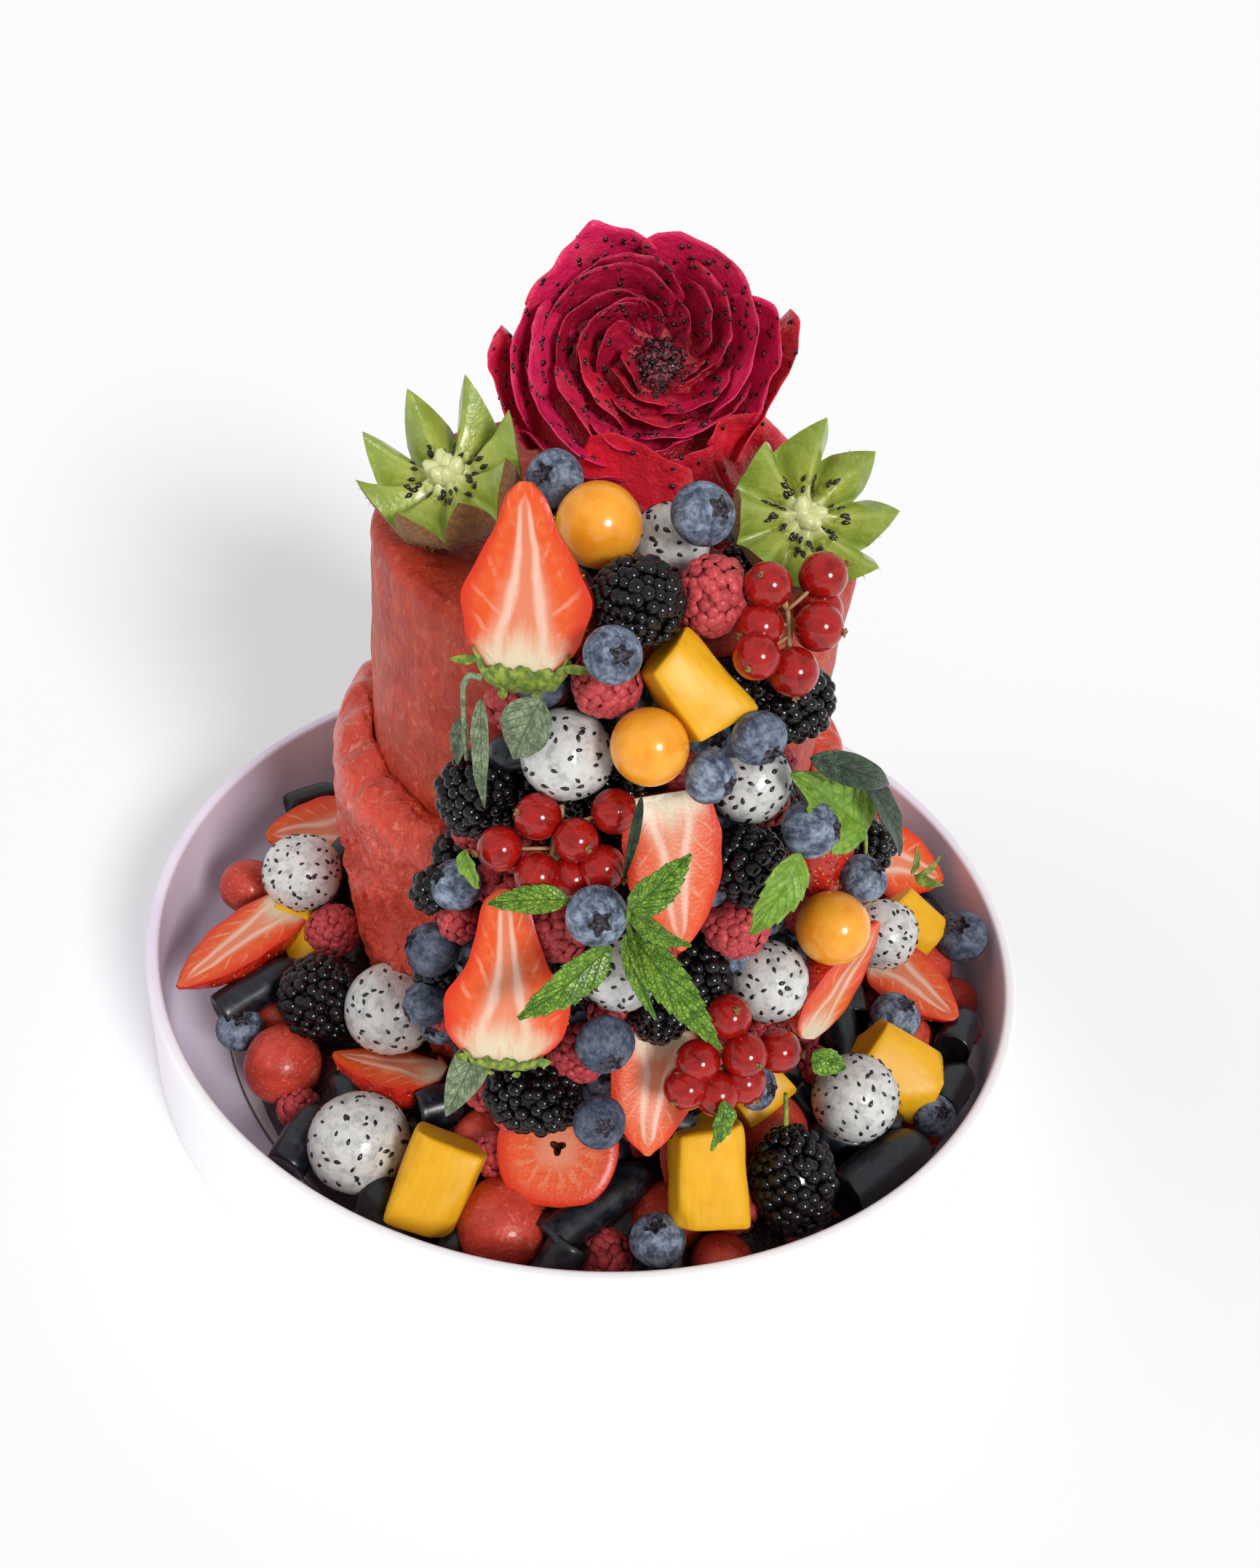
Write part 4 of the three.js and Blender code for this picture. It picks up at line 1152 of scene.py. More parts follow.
def seat(shape, node, spin, tilt):
    """The matrix that sets a shape where the CAD has that node. Its shown side meets the node's shown side,
    whatever was cut from the node's back."""
    low, high = box(node)
    centre = (low + high) / 2
    angle = math.degrees(math.atan2(centre[0] - TOWER[0], TOWER[1] - centre[1]))
    matrix = facing((0, 0, 0), angle, tilt, spin)
    turned = shape.points @ matrix[:3, :3].T
    least, most = turned.min(0), turned.max(0)
    slack = np.maximum(0, (most - least) - (high - low))
    matrix[:3, 3] = centre - (least + most) / 2 - np.clip(matrix[:3, 2] * 1.5, -1, 1) * slack / 2
    return matrix


def show(node, shape, matrix):
    """Builds the fruit that stands for a CAD node."""
    tone = dice("tone", node).uniform()
    whole = shape.moved(matrix)
    if not whole.tone.any():
        whole = whole.toned(tone)
    whole.grain = whole.grain + GRAIN_SHIFT * (1 + tone)
    build(node + "_fruit", whole, [node])


# ---- Tray, board and tiers
def turned(profile, sides, finish):
    """A round piece from its profile of radii and heights, listed from its underside outwards and up."""
    return woven([ring(radius, turns(sides), height) for radius, height in profile], finish)


def rounded(profile, corners):
    """A profile with some of its corners rounded: {index: radius}."""
    made = []
    for i, point in enumerate(profile):
        point = np.array(point, float)
        if i not in corners:
            made.append(point)
            continue
        before, after = (unit(np.array(profile[j], float) - point) for j in (i - 1, i + 1))
        reach = corners[i]
        for share in np.linspace(0, 1, 6):
            a, b = point + before * reach * (1 - share), point + after * reach * share
            made.append(a * (1 - share) + b * share)
    return made


def add_tray():
    radius, _, height = box("tray")[1]
    wall, floor = 4, 3
    inside = radius - wall
    profile = [
        (radius * 0.5, 0), (radius - 4, 0), (radius, 2), (radius, height), (inside, height),
        (inside, floor), (radius * 0.5, floor), (4, floor),
    ]
    profile = rounded(profile, {1: 2, 2: 2, 3: 1.6, 4: 1.6, 5: 5})
    shape = turned(profile, 200, "tray_card")
    build("tray_card", shape, ["tray"])


def add_board():
    """A disc of card, with its cut edge as a dark band half-way up: brown card darkened as painted shadow
    along the edge.
    """
    low, high = box("board")
    centre = (low + high) / 2
    radius = (high[0] - low[0]) / 2
    bottom, top = low[2], high[2]
    disc = [(radius - 6, bottom), (radius - 0.4, bottom), (radius - 0.4, top), (radius - 9, top), (3, top)]
    band = [(radius - 5, 0.9), (radius, 0.9), (radius, 1.7), (radius - 5, 1.7)]
    disc = turned(rounded(disc, {2: 0.8}), 180, "board_card")
    band = turned([(out, bottom + rise) for out, rise in band], 180, "board_edge")
    build("serving_board", together([disc, band]).shifted((*centre[:2], 0)), ["board"])


def hand_cut(angle, height):
    return 1 + 0.008 * np.sin(3 * angle + 0.04 * height) + 0.006 * np.sin(7 * angle - 0.05 * height)


def tier(radius_at, heights, node, rough, sides=240):
    """Rows of points round a hand-cut wall."""
    turn = turns(sides)
    rows = []
    for height, inset in heights:
        out = (radius_at(height) - inset) * hand_cut(turn, height)
        rows.append(ring(out, turn, height))
    points = np.array(rows)
    out = points * np.array([1, 1, 0])
    out = out / np.maximum(1, np.linalg.norm(out, axis=-1, keepdims=True))
    relief = 0.5 * ripple(points * (1, 1, 0.6), 9, node)
    relief = relief + 0.25 * ripple(points * (1, 1, 0.7), 3.6, node + "fine", 11)
    return points + out * rough * relief[..., None]


def add_upper_tier():
    low, high = box("upper_tier")
    bottom, top = low[2], high[2]
    corner = np.linspace(0, math.pi / 2, 8)
    edge = zip(top - 5 + 5 * np.sin(corner), 3.4 * (1 - np.cos(corner)))
    heights = [(bottom, 1.5), *((h, 0) for h in np.arange(bottom + 1.5, top - 5.5, 2.0)), *edge]
    points = tier(lambda h: UPPER_RADIUS, heights, "upper_tier", 0.55)
    crown = points[-1]
    inner = [crown * (share, share, 1) + (0, 0, 0.5 * (1 - share)) for share in (0.8, 0.5, 0.2)]
    shape = woven(np.concatenate([points, inner]), "melon_flesh_upper")
    build("upper_tier_melon", shape.shifted((*TOWER, 0)), ["upper_tier"])


def lower_radius(height):
    """The lower tier's radius, which grows from its foot to its widest at the lip."""
    foot = box("lower_tier")[0][2]
    rise = (height - foot) / (WIDEST - foot)
    return FOOT_RADIUS + (LIP_RADIUS - FOOT_RADIUS) * np.sin(np.minimum(1, rise) * math.pi * 0.5)


def add_lower_tier():
    foot = box("lower_tier")[0][2]
    sides = 300
    turn = turns(sides)
    heights = [(foot, 1.2), *((h, 0.6) for h in np.arange(foot + 1.5, WALL_TOP, 1.8))]
    walls = tier(lower_radius, heights, "lower_tier", 1.1, sides)
    # A knife slip left a shallow crease that runs down from the lip at the left, with a swelling over it.
    # Where it starts, how far it slants as it goes down, and where it ends.
    crease_angle, crease_top, slant, crease_foot = -2.55, 104, 0.75, 74
    angle, height = np.arctan2(walls[..., 1], walls[..., 0]), walls[..., 2]
    aside = (angle - crease_angle) * LIP_RADIUS + (height - crease_top) * slant
    reach = np.clip((height - crease_foot) / 14, 0, 1) * np.clip((WALL_TOP - height) / 8, 0, 1)
    groove = 2.6 * np.exp(-((aside / 2.0) ** 2)) * reach
    bulge = 1.8 * np.exp(-(((aside - 7) / 6) ** 2)) * reach
    torn = np.abs(ripple(walls * (1, 1, 0.35), 7, "torn")) * np.clip((106 - height) / 24, 0, 1)
    scale = 1 + (bulge - groove - 4.5 * torn) / LIP_RADIUS
    walls[..., :2] *= scale[..., None]
    # The lip slopes up from the wall to where the upper tier stands.
    lip, start = SHOULDER + 2 + 3 * np.cos(turn - math.pi * 0.9), WALL_TOP + 0.5
    foot = (lower_radius(WALL_TOP) - 0.6) * hand_cut(turn, WALL_TOP)
    near = (UPPER_RADIUS + 0.2) * hand_cut(turn, SHOULDER)
    rows = []
    for share in np.linspace(0, 1, 13)[1:]:
        a = share * math.pi / 2
        out = near + (foot - near) * math.cos(a)
        rows.append(ring(out, turn, start + (lip - start) * math.sin(a)))
    top = np.array(rows)
    relief = 0.9 * ripple(top, 9, "lip") + 0.35 * ripple(top, 3.6, "lip fine")
    top = top + relief[..., None] * (0.3, 0.3, 1)
    inner = [top[-1] * (share, share, 0) + (0, 0, WIDEST) for share in (1, 0.5)]
    shape = woven(np.concatenate([walls, top, inner]), "melon_flesh_lower")
    build("lower_tier_melon", shape.shifted((*TOWER, 0)), ["lower_tier"])


# ---- Kiwi crowns
def kiwi_crown(radius, depth, rise, seed, tall, cup, spin):
    """A kiwi half cut zigzag to its core. Tall is each tooth's height as a share of the rise, and cup how
    steeply the teeth stand up at the rim."""
    rng = dice("kiwi", seed)
    teeth = len(tall)
    points_per_tooth = 12
    sides = teeth * points_per_tooth
    step = np.arange(sides) / sides
    angle = step * TAU + math.radians(spin)
    tooth = np.floor(step * teeth).astype(int)
    # From each tooth's tip at 0 to the notch at 1: the flanks bulge and the tip stays sharp.
    down = 2 * np.abs((step * teeth) % 1 - 0.5)
    high = np.array(tall)[tooth]
    notch = -rise * 0.85
    rim_up = notch + (rise * high - notch) * (1 - down) ** 0.66
    flared, tucked_in = 1 + 0.10 * rim_up / (rise * high), np.sqrt(1 - (rim_up / depth) ** 2 * 0.6)
    rim_out = radius * np.where(rim_up > 0, flared, tucked_in)

    def cut_at(share, out, up):
        # The core stands up pale in the middle, and the cut flesh sags a little on its way to the rim.
        sag = -1.1 * np.sin(math.pi * share)
        raised = 4.2 * np.exp(-((share / 0.2) ** 2))
        return out * share, up * share**cup + sag - 1.2 * (1 - share) + raised

    skin = []
    for share in np.linspace(0.06, 1, 13):
        a = share * math.pi / 2
        out = rim_out * math.sin(a) ** 0.8
        skin.append(ring(out, angle, rim_up - (rim_up + depth) * math.cos(a)))
    skin = np.array(skin)
    skin = skin * (1 + 0.012 * ripple(skin, 8, seed)[..., None] * np.linspace(1, 0, 13)[:, None, None])
    around = woven(skin, "kiwi_skin", caps=(True, False))
    rows, local = [], []
    for share in np.linspace(1, 0.03, 22):
        out, up = cut_at(share, rim_out, rim_up)
        flat = ring(out, angle, up)
        flat[:, 2] += 0.25 * ripple(flat, 4, f"{seed}cut") * (share < 0.98)
        rows.append(flat)
        local.append(points_at(share, step))
    flesh = woven(rows, "kiwi_flesh", local, caps=(False, True))
    rows = np.array(rows[::-1])
    spots, tones = [], []
    for k in range(teeth * 2):
        # Pips lie in clusters on both flanks of each tooth, near the core.
        heart = (k + 0.5) * points_per_tooth / 2
        for _ in range(rng.integers(2, 5)):
            i = int(rng.integers(6, 12))
            j = int(heart + rng.uniform(-0.42, 0.42) * points_per_tooth / 2) % sides
            here = rows[i, j]
            along = unit(rows[i + 1, j] - here)
            normal = unit(np.cross(along, rows[i, (j + 1) % sides] - here))
            normal = normal if normal[2] > 0 else -normal
            lean = rng.normal() * 0.35
            side = np.cross(along, normal)
            y = unit(along * math.cos(lean) + side * math.sin(lean))
            size = rng.uniform(0.9, 1.2)
            shift = rng.uniform(-0.5, 0.5, 2)
            spot = here + normal * 0.1 + along * shift[0] + side * shift[1]
            spots.append(axes(np.cross(y, normal) * size, y * size, normal * size, spot))
            tones.append(rng.uniform())
    pips = repeated(seed_drop(2.4, 1.3, 0.55), spots, tones)
    core = []
    for i in range(6):
        turn = i / 6 * TAU + rng.uniform(-0.4, 0.4)
        out, up = rng.uniform(2.4, 5.2), rng.uniform(2.6, 5.0)
        tip = (out * math.cos(turn), out * math.sin(turn), up)
        foot = (out * 0.3 * math.cos(turn), out * 0.3 * math.sin(turn), -1.5)
        core.append(rod([foot, np.add(foot, tip) / 2 + (0, 0, 0.6), tip], (3.0, 2.6, 0.9), "kiwi_flesh", 5))
        core[-1].local[:] = (0.05, 0, 0)
    hairs = 500
    share, turn = rng.uniform(0.15, 0.98, hairs), rng.uniform(0, TAU, hairs)
    k = (turn - math.radians(spin)) / TAU * sides % sides
    out, up = np.interp(k, range(sides), rim_out), np.interp(k, range(sides), rim_up)
    a = share * math.pi / 2
    foot = ring(out * np.sin(a) ** 0.8, turn, up - (up + depth) * np.cos(a))
    way = unit(ring(np.sin(a), turn, -np.cos(a)) + rng.normal(size=(hairs, 3)) * 0.5)
    hair = rod([(0, 0, -0.1), (0.05, 0, 0.7), (0.25, 0, 1.3)], (0.07, 0.06, 0.015), "kiwi_fuzz", 3)
    fuzz = scattered(hair, frames(foot, way, rng, rng.uniform(0.6, 1.3, hairs)), rng)
    return together([around, flesh, pips, *core, fuzz])


def add_kiwis():
    # Depth, rise, tooth heights, cup and spin, then its place and how far it leans about X and about Y.
    crowns = {
        "kiwi_left": (17, 8.5, (1.2, 1.7, 1.55, 1.3, 1.1, 0.8, 0.8, 1.0), 1.5, 2, (-48, -22, 205), 16, -18),
        "kiwi_right": (15, 7.5, (1.3, 1.3, 1.7, 1.1, 0.9, 0.8, 0.9, 1.2), 1.1, -15, (43.5, -27, 207), 42, 18),
    }
    for node, (depth, rise, tall, cup, spin, place, about_x, about_y) in crowns.items():
        at = rolled("X", about_x) @ rolled("Y", about_y)
        at[:3, 3] = place
        show(node, kiwi_crown(19, depth, rise, node, tall, cup, spin), at)


# ---- The rose
# How long, wide and proud its seeds are.
ROSE_SEED = 1.7, 1.15, 0.5


def petal(seed, start, end, radii, height, red, shade, depth=None, slope=None, flare=0, peak=(0.5, 0)):
    """A petal shaved from the fruit along an arc, from inside its neighbour at its start to outside the next
    one at its end. Radii are its edge's along the arc; depth and slope are how far down and in its root is;
    peak is where its edge rises, and how far. Returns its shape and its seeds."""
    rng = dice("petal", seed)
    depth = max(9.0, height + 12.0) if depth is None else depth
    slope = min(0.85 * depth, 0.55 * min(radii)) if slope is None else slope
    rows, cols = 13, 37
    v = np.linspace(0, 1, rows)[:, None]
    u = np.linspace(0, 1, cols)[None, :]
    turn = np.radians(start + 7 + (end - start) * u)
    wave = rng.uniform(0, TAU, 4)
    known = np.linspace(0, 1, len(radii))
    edge = np.mean([np.interp(u + shift, known, radii) for shift in (-0.07, 0, 0.07)], axis=0)
    edge = edge + 0.35 * np.sin(7 * u + wave[0]) + peak[1] * 0.4 * np.exp(-(((u - peak[0]) / 0.13) ** 2))
    # The whorls close in on the heart, which lies up and to the right of the middle.
    reach = float(np.mean(radii))
    centre = np.array([np.interp(reach, (15, 33), (1.8, 0.1)), np.interp(reach, (15, 33), (7.4, 1.9)), 0.0])
    ends = np.abs(2 * u - 1) ** 7
    rise = height - 4.0 * ends
    for size, pace, start_at in zip((0.6, 0.35, 0.2), (5, 17, 31), wave[1:]):
        rise = rise + size * np.sin(pace * u + start_at)
    rise = rise + peak[1] * np.exp(-(((u - peak[0]) / 0.09) ** 2))
    radius = edge - slope * (1 - v) ** 1.15 + flare * v**4
    level = rise - depth * (1 - v) ** 0.9 - 0.35 * flare * v**5
    base = ring(radius, turn, level)
    radius = radius + 0.6 * ripple(base, 9, f"{seed}") + 0.22 * ripple(base, 2.8, f"{seed}fine")
    thick = 0.22 + 1.5 * (1 - v) ** 0.8
    inner = ring(radius, turn, level) + centre
    outer = ring(radius + thick, turn, level - 0.3 * thick) + centre
    blade = sheet_between(outer, inner, "red_pitaya_flesh", points_at(u, v, red))
    blade.grain = blade.grain + rng.uniform(0, 90, 3)
    blade.tone = np.full(len(blade.points), float(shade))
    count = 3 if shade < -0.6 else int(abs(end - start) * max(8, min(radii)) / 60) + 3
    spots = []
    for _ in range(count):
        i, j = rng.integers(rows // 3, rows - 1), rng.integers(1, cols - 1)
        side, sign = (inner, -1) if rng.uniform() < 0.8 and slope > 0 else (outer, 1)
        normal = unit(np.cross(side[i, j + 1] - side[i, j - 1], side[i + 1, j] - side[i - 1, j])) * sign
        here = side[i, j] + (side[i, j + 1] - side[i, j]) * rng.uniform()
        here = here + (side[i + 1, j] - side[i, j]) * rng.uniform()
        spots.append(frames([here], [normal], rng, rng.uniform(0.85, 1.25))[0])
    return [blade, scattered(seed_drop(*ROSE_SEED), spots, rng)]


# The middle of the rose's heart, and heights at distances from there: its dome's, and the crumbs' on it.
HEART = np.array([3.8, 4.4, 0.0])
HEART_PROFILE = ((2, -7.0), (4, -7.6), (6, -8.8), (7.5, -10.5), (9, -12.5))
CRUMBS_PROFILE = (0, 2, 4, 6, 7.5, 9, 14), (-6.9, -7.0, -7.6, -8.8, -10.5, -11, -10)


def add_rose():
    rng = dice("rose")
    parts = []
    bowl = [
        (0.04, -48), (0.2, -47), (0.45, -43), (0.66, -36), (0.83, -27), (0.95, -17), (0.93, -8),
        (0.75, -6.5), (0.55, -7.5), (0.4, -9), (0.1, -10.5),
    ]
    turn = turns(72)
    rows = [ring(34.5 * share, turn, height) for share, height in bowl]
    rows = np.array(rows) * (1 + 0.015 * ripple(rows, 9, "bowl")[..., None])
    flesh = np.zeros_like(rows)
    flesh[..., 1] = np.clip((rows[..., 2] + 44) / 70, 0, 1)
    flesh[..., 2] = 0.9
    # The bowl under the petals takes a deep painted shade.
    parts.append(woven(rows, "red_pitaya_flesh", flesh).toned(0.8))
    dome = np.array([ring(radius, turn, height) + HEART for radius, height in HEART_PROFILE[::-1]])
    dome = dome + 0.5 * ripple(dome, 2.4, "heart")[..., None]
    parts.append(woven(dome, "red_pitaya_heart", caps=(False, True)))
    # Start and end of the arc in degrees, the edge's radii along it, height, redness, painted shade, depth,
    # slope, flare and peak.
    petals = (
        # the loose petals outside
        (-48, 20, (34, 33.5, 34.5, 38.5, 38.5), 2, 1, -0.2, 22, 11, 0, (0.9, 2)),
        (-34, 38, (31.5, 32.5, 34, 33.5, 27), 6, 0, -0.1, 20, 12),
        (84, 158, (26, 31.5, 33.5, 32, 32.5), 8, 0, 0, 24, 12, 0, (0.39, 2.5)),
        (-50, 94, (23.5, 26, 27, 27.8, 29.5, 27), 9, 0.15, 0.1, 22, 11),
        (138, 208, (33.5, 33, 35, 36), 4, 0.05, 0.1, 24, 11),
        (164, 214, (37.5, 40, 38.8, 35.8), 0, 0.5, 0.35, 20, 9, 1),
        (-126, -72, (27, 23, 24.5, 28, 33), 6, 1, -0.7, 15, -14),
        (-98, -52, (28, 29, 28), 3, 0.9, 0.4, 18, -12),
        (-60, -28, (28, 25.5, 27, 33), 5, 1, -0.7, 16, -11),
        (208, 258, (36.5, 34, 32), 1, 0.2, 0.25, 22, 8),
        (176, 248, (30.5, 31.5, 30.5), 4, 0, 0.15, 20, 11),
        # the whorls inside
        (228, 296, (25, 27, 27.5, 25), 3.5, 0.11, 0.4),
        (-98, -17, (22, 25, 27, 27.5), 4, 0.08, 0.35),
        (150, 200, (29, 30.5, 31.5), 6, 0.04, 0.3),
        (56, 146, (14.5, 20, 24, 26.5), 6, 0.15, 0.6),
        (-20, 66, (17, 20, 21.5, 22.5), 6, 0.4, 0.55),
        (62, 174, (13.5, 20, 25, 28), 4.5, 0.22, 0.7),
        (186, 244, (24, 26, 27), 3, 0.26, 0.45),
        (-84, -8, (17.5, 20.5, 22.5), 2.5, 0.38, 0.45),
        (88, 196, (7.5, 16, 22, 26), 2.5, 0.3, 0.85),
        (112, 196, (10.5, 16.5, 21), 2, 0.25, 0.8),
        (96, 172, (8.5, 13.5, 17.5), 1, 0.2, 0.9),
        (-10, 62, (13.5, 16, 17.5), 3.5, 0.4, 0.7),
        (176, 250, (18.5, 20.5, 21.5), 2, 0.68, 0.4),
        (226, 300, (17, 20, 22), 0.5, 0.68, 0.4),
        (-70, 4, (13, 15.5, 17.5), 0, 0.68, 0.4),
        (0, 74, (8.8, 11, 12.5), 1, 0.3, 0.9, 12, 7),
        (140, 204, (8, 13, 16.5), 0.5, 0.3, 0.95, 12, 7),
        (64, 132, (7, 9.5, 11.5), 0, 0.2, 1.0, 10, 6),
        (206, 286, (12.5, 15, 16.5), -1.5, 0.75, 0.35, 12, 7),
        (184, 250, (8.5, 10, 11), -2, 0.45, 0.75, 9, 5),
        (-62, -14, (11.5, 13, 14), -2, 0.6, 0.6, 9, 6),
    )
    for number, row in enumerate(petals):
        parts += petal(f"rose{number}", *row)
    # The heart: flesh crumbled where the knife came out, with seeds all over it.
    on_dome = lambda x, y: float(np.interp(math.hypot(x - HEART[0], y - HEART[1]), *CRUMBS_PROFILE))
    lumps, seeds = 60, 54
    for i in range(lumps):
        x, y = rng.normal(size=2) * (3.6, 3.8) + HEART[:2]
        ways = globe(6, 9) * rng.uniform(0.5, 1.4)
        lump = woven(ways * (1 + 0.25 * ripple(ways, 1.2, f"lump{i}")[..., None]), "red_pitaya_heart")
        spot = (x, y, on_dome(x, y) + rng.uniform(-0.3, 0.5))
        parts.append(lump.shifted(spot).toned(rng.uniform()))
    spots = []
    for _ in range(seeds):
        x, y = rng.normal(size=2) * (4.4, 4.4) + (3.2, 5.0)
        way = (rng.normal() * 0.4, rng.normal() * 0.4, 1)
        spots.append(frames([(x, y, on_dome(x, y) + rng.uniform(0.4, 1.4))], [way], rng)[0])
    parts.append(scattered(seed_drop(*ROSE_SEED), spots, rng))
    at = rolled("X", 50)
    at[:3, 3] = (-0.5, 2.8, 228.4)
    show("pitaya_rose", together(parts), at)


# ---- The cascade
def set_down(node, slot, shape, spin=0.0, tilt=32.0, shift=(0, 0, 0)):
    """Builds the fruit that stands for a CAD node, where that node is."""
    at = seat(shape, node, spin, tilt)
    at[:3, 3] += shift
    show(node, shape, at)


def add_cascade():
    for number, radius in enumerate((10.4, 9.3, 10.0), 1):
        node = f"physalis_{number}"
        set_down(node, "physalis", physalis(radius, node))
    # Radius, and where the crown looks in the berry's shown face.
    blueberries = (
        (7.3, (-0.05, 0.0)), (7.7, (0.25, 0.1)), (6.8, (0.3, 0.05)), (6.8, (0.1, -0.6)), (6.5, (0.6, -0.35)),
        (7.5, (0.55, -0.1)), (6.8, (0.2, 0.5)), (7.5, (0.1, -0.05)), (6.9, (-0.6, 0.3)), (7.4, (-0.7, 0.2)),
        (6.4, (-0.5, -0.6)), (7.5, (0.2, -0.45)), (7.0, (0.15, 0.15)),
    )
    for number, (radius, lean) in enumerate(blueberries, 1):
        node = f"blueberry_{number}"
        set_down(node, "blueberry", blueberry(radius, node, lean))
    # Radius, stretch, spin, and the width of a drupelet.
    brambles = (
        (11, 1.12, 30, 3.3), (7.5, 1.15, 0, 3.3), (10, 1.18, 75, 3.8), (11, 1.12, 20, 3.5),
        (9.6, 1.28, 185, 4.0), (8, 1.1, 0, 3.6), (9, 1.1, 60, 4.2), (8.6, 1.1, 30, 4.0),
        (10.4, 1.45, 88, 3.5),
    )
    raspberries = (
        (9.2, 1.2, 175, 3.1), (9, 1.05, 200, 2.9), (9.6, 1.1, 130, 3.1), (8.8, 1.2, 170, 2.9),
        (9, 1.1, 200, 2.9),
    )
    for kind, make, berries in (("bramble", bramble, brambles), ("raspberry", raspberry, raspberries)):
        for number, (radius, stretch, spin, pitch) in enumerate(berries, 1):
            node = f"{kind}_{number}"
            set_down(node, kind, make(radius, stretch, node, pitch), spin)
    for number, radius in enumerate((9.8, 11.4, 10.8, 10.2, 10.9), 1):
        node = f"pitaya_ball_{number}"
        set_down(node, "white_pitaya", pitaya_ball(radius, node))
    set_down("mango_1", "mango", mango_chunk(17, 23, 14, "mango_1"), 35)
    # Length, width, depth, outline, how wide and tall its green top is, how far it rolls onto its side, and
    # its spin, tilt and shift.
    halves = {
        1: (43, 31, 14, "bell", (23, 5.5), 0, 8, 22),
        2: (40, 25, 12, "straight", None, 0, 186, 30),
        4: (45, 33, 13, "pear", (20, 2.5), 0, 8, 30),
        5: (38, 31, 13, "plain", None, 8, -38, 5, (3.0, 0.8, -0.5)),
        6: (34, 24, 11, "straight", None, 0, 172, 35),
    }
    for number, (length, width, depth, outline, green, roll, *place) in halves.items():
        node = f"strawberry_{number}"
        shape = strawberry_half(length, width, depth, node, outline)
        if green:
            shape = together([shape, cut_calyx(length, width, *green, outline, node)])
        set_down(node, "strawberry", shape.moved(rolled("Y", roll)), *place)
    set_down("strawberry_3", "strawberry", strawberry_whole(30, 20, "strawberry_3"), 150)
    # The berries' radius, and where each one is.
    sprigs = (
        (6.0, [(-5, 11), (11, 10), (5, -1, 3), (-8, 2, -2), (-13, -4, 2), (-3, -10, 1), (10, 2, -3)]),
        (5.8, [(-5, 6), (-13, -3), (5, 2, 2), (13, 10), (-3, -8, 1), (12, -4), (5, -8, -2)]),
        (6.0, [(0, 10), (2, 0, 3), (-10, 0), (13, -2), (-14, -6), (-6, -9, 1), (2, -8)]),
    )
    for number, (radius, places) in enumerate(sprigs, 1):
        set_down(f"currants_{number}", "currant", currant_sprig(radius, places, number))


# ---- The bed and what is tucked behind the cascade
class Pile:
    """Loose fruit by kind, and the room that it takes."""

    def __init__(self):
        self.centres = np.zeros((0, 3))
        self.radii = np.zeros(0)
        self.kinds = {}

    def hold(self, centre, radius):
        self.centres = np.vstack([self.centres, centre])
        self.radii = np.append(self.radii, radius)

    def hold_node(self, node):
        """Keeps a CAD node's room, as spheres along its longest side."""
        low, high = box(node)
        size = high - low
        radius = np.sort(size)[1] / 2
        longest = int(size.argmax())
        reach = max(0.0, size[longest] / 2 - radius)
        for share in (-1, 0, 1) if reach > 1 else (0,):
            centre = (low + high) / 2
            centre[longest] += reach * share
            self.hold(centre, radius * 0.95)

    def takes(self, centre, radius, squeeze):
        """Takes room for a sphere, if there is any, and says whether it did. The sphere may come to that
        share of the distance it needs."""
        away = np.linalg.norm(self.centres - centre, axis=1)
        free = (away > (self.radii + radius) * squeeze).all()
        if free:
            self.hold(centre, radius)
        return free

    def add(self, kind, shape, matrix, tone=None):
        shape = shape.moved(matrix)
        if tone is not None:
            shape = shape.toned(tone)
        self.kinds.setdefault(kind, []).append(shape)


def fruit_of(kind, radius, seed):
    """A loose fruit about that radius in size."""
    bend = dice("loose", kind, seed).uniform(-1, 1)
    makers = {
        "melon": lambda: melon_ball(radius, seed),
        "white_pitaya": lambda: pitaya_ball(radius, seed, 70),
        "blueberry": lambda: blueberry(radius, seed),
        "bramble": lambda: bramble(radius * 0.95, 1.15, seed, 4.0, -0.2),
        "raspberry": lambda: raspberry(radius * 0.95, 1.12, seed, 3.1, -0.2),
        "mango": lambda: mango_chunk(radius * 1.6, radius * 1.9, radius * 1.4, seed),
        "grape": lambda: grape(radius * 0.78, radius * 1.5, seed, bend),
        "strawberry": lambda: strawberry_half(radius * 2.4, radius * 1.7, radius * 0.8, seed),
    }
    return makers[kind]()


def drawn(mix, rng):
    """A kind of fruit out of a mix of names, shares and radii, and its radius."""
    names, weights, sizes = zip(*mix)
    kind = rng.choice(len(names), p=np.array(weights) / sum(weights))
    return names[kind], rng.uniform(*sizes[kind])


def own_tone(kind, rng):
    """A tone for a loose fruit. The drupelets of a berry have theirs already."""
    return None if kind in ("bramble", "raspberry") else rng.uniform()


def build_kinds(prefix, kinds):
    """Builds one piece of each kind of loose fruit."""
    for kind, shapes in kinds.items():
        build(f"{prefix}_{kind}", together(shapes))


def bed_top(share):
    """Height of the bed between the tier's wall at 0 and the bed's edge at 1."""
    inner = box("fruit_bed")[1][2] - 2.4
    return np.interp(share, [0, 0.14, 0.45, 0.8, 1], [inner - 4, inner, inner - 6, inner - 15, inner - 23])


def bed_edge(angle):
    """Outer radius of the bed at an angle from +X: it keeps clear of the tray's wall at the left."""
    widest, left_gap, left = 135.5, 17, math.pi * 1.03
    return widest - left_gap * max(0.0, math.cos(angle - left)) ** 1.5


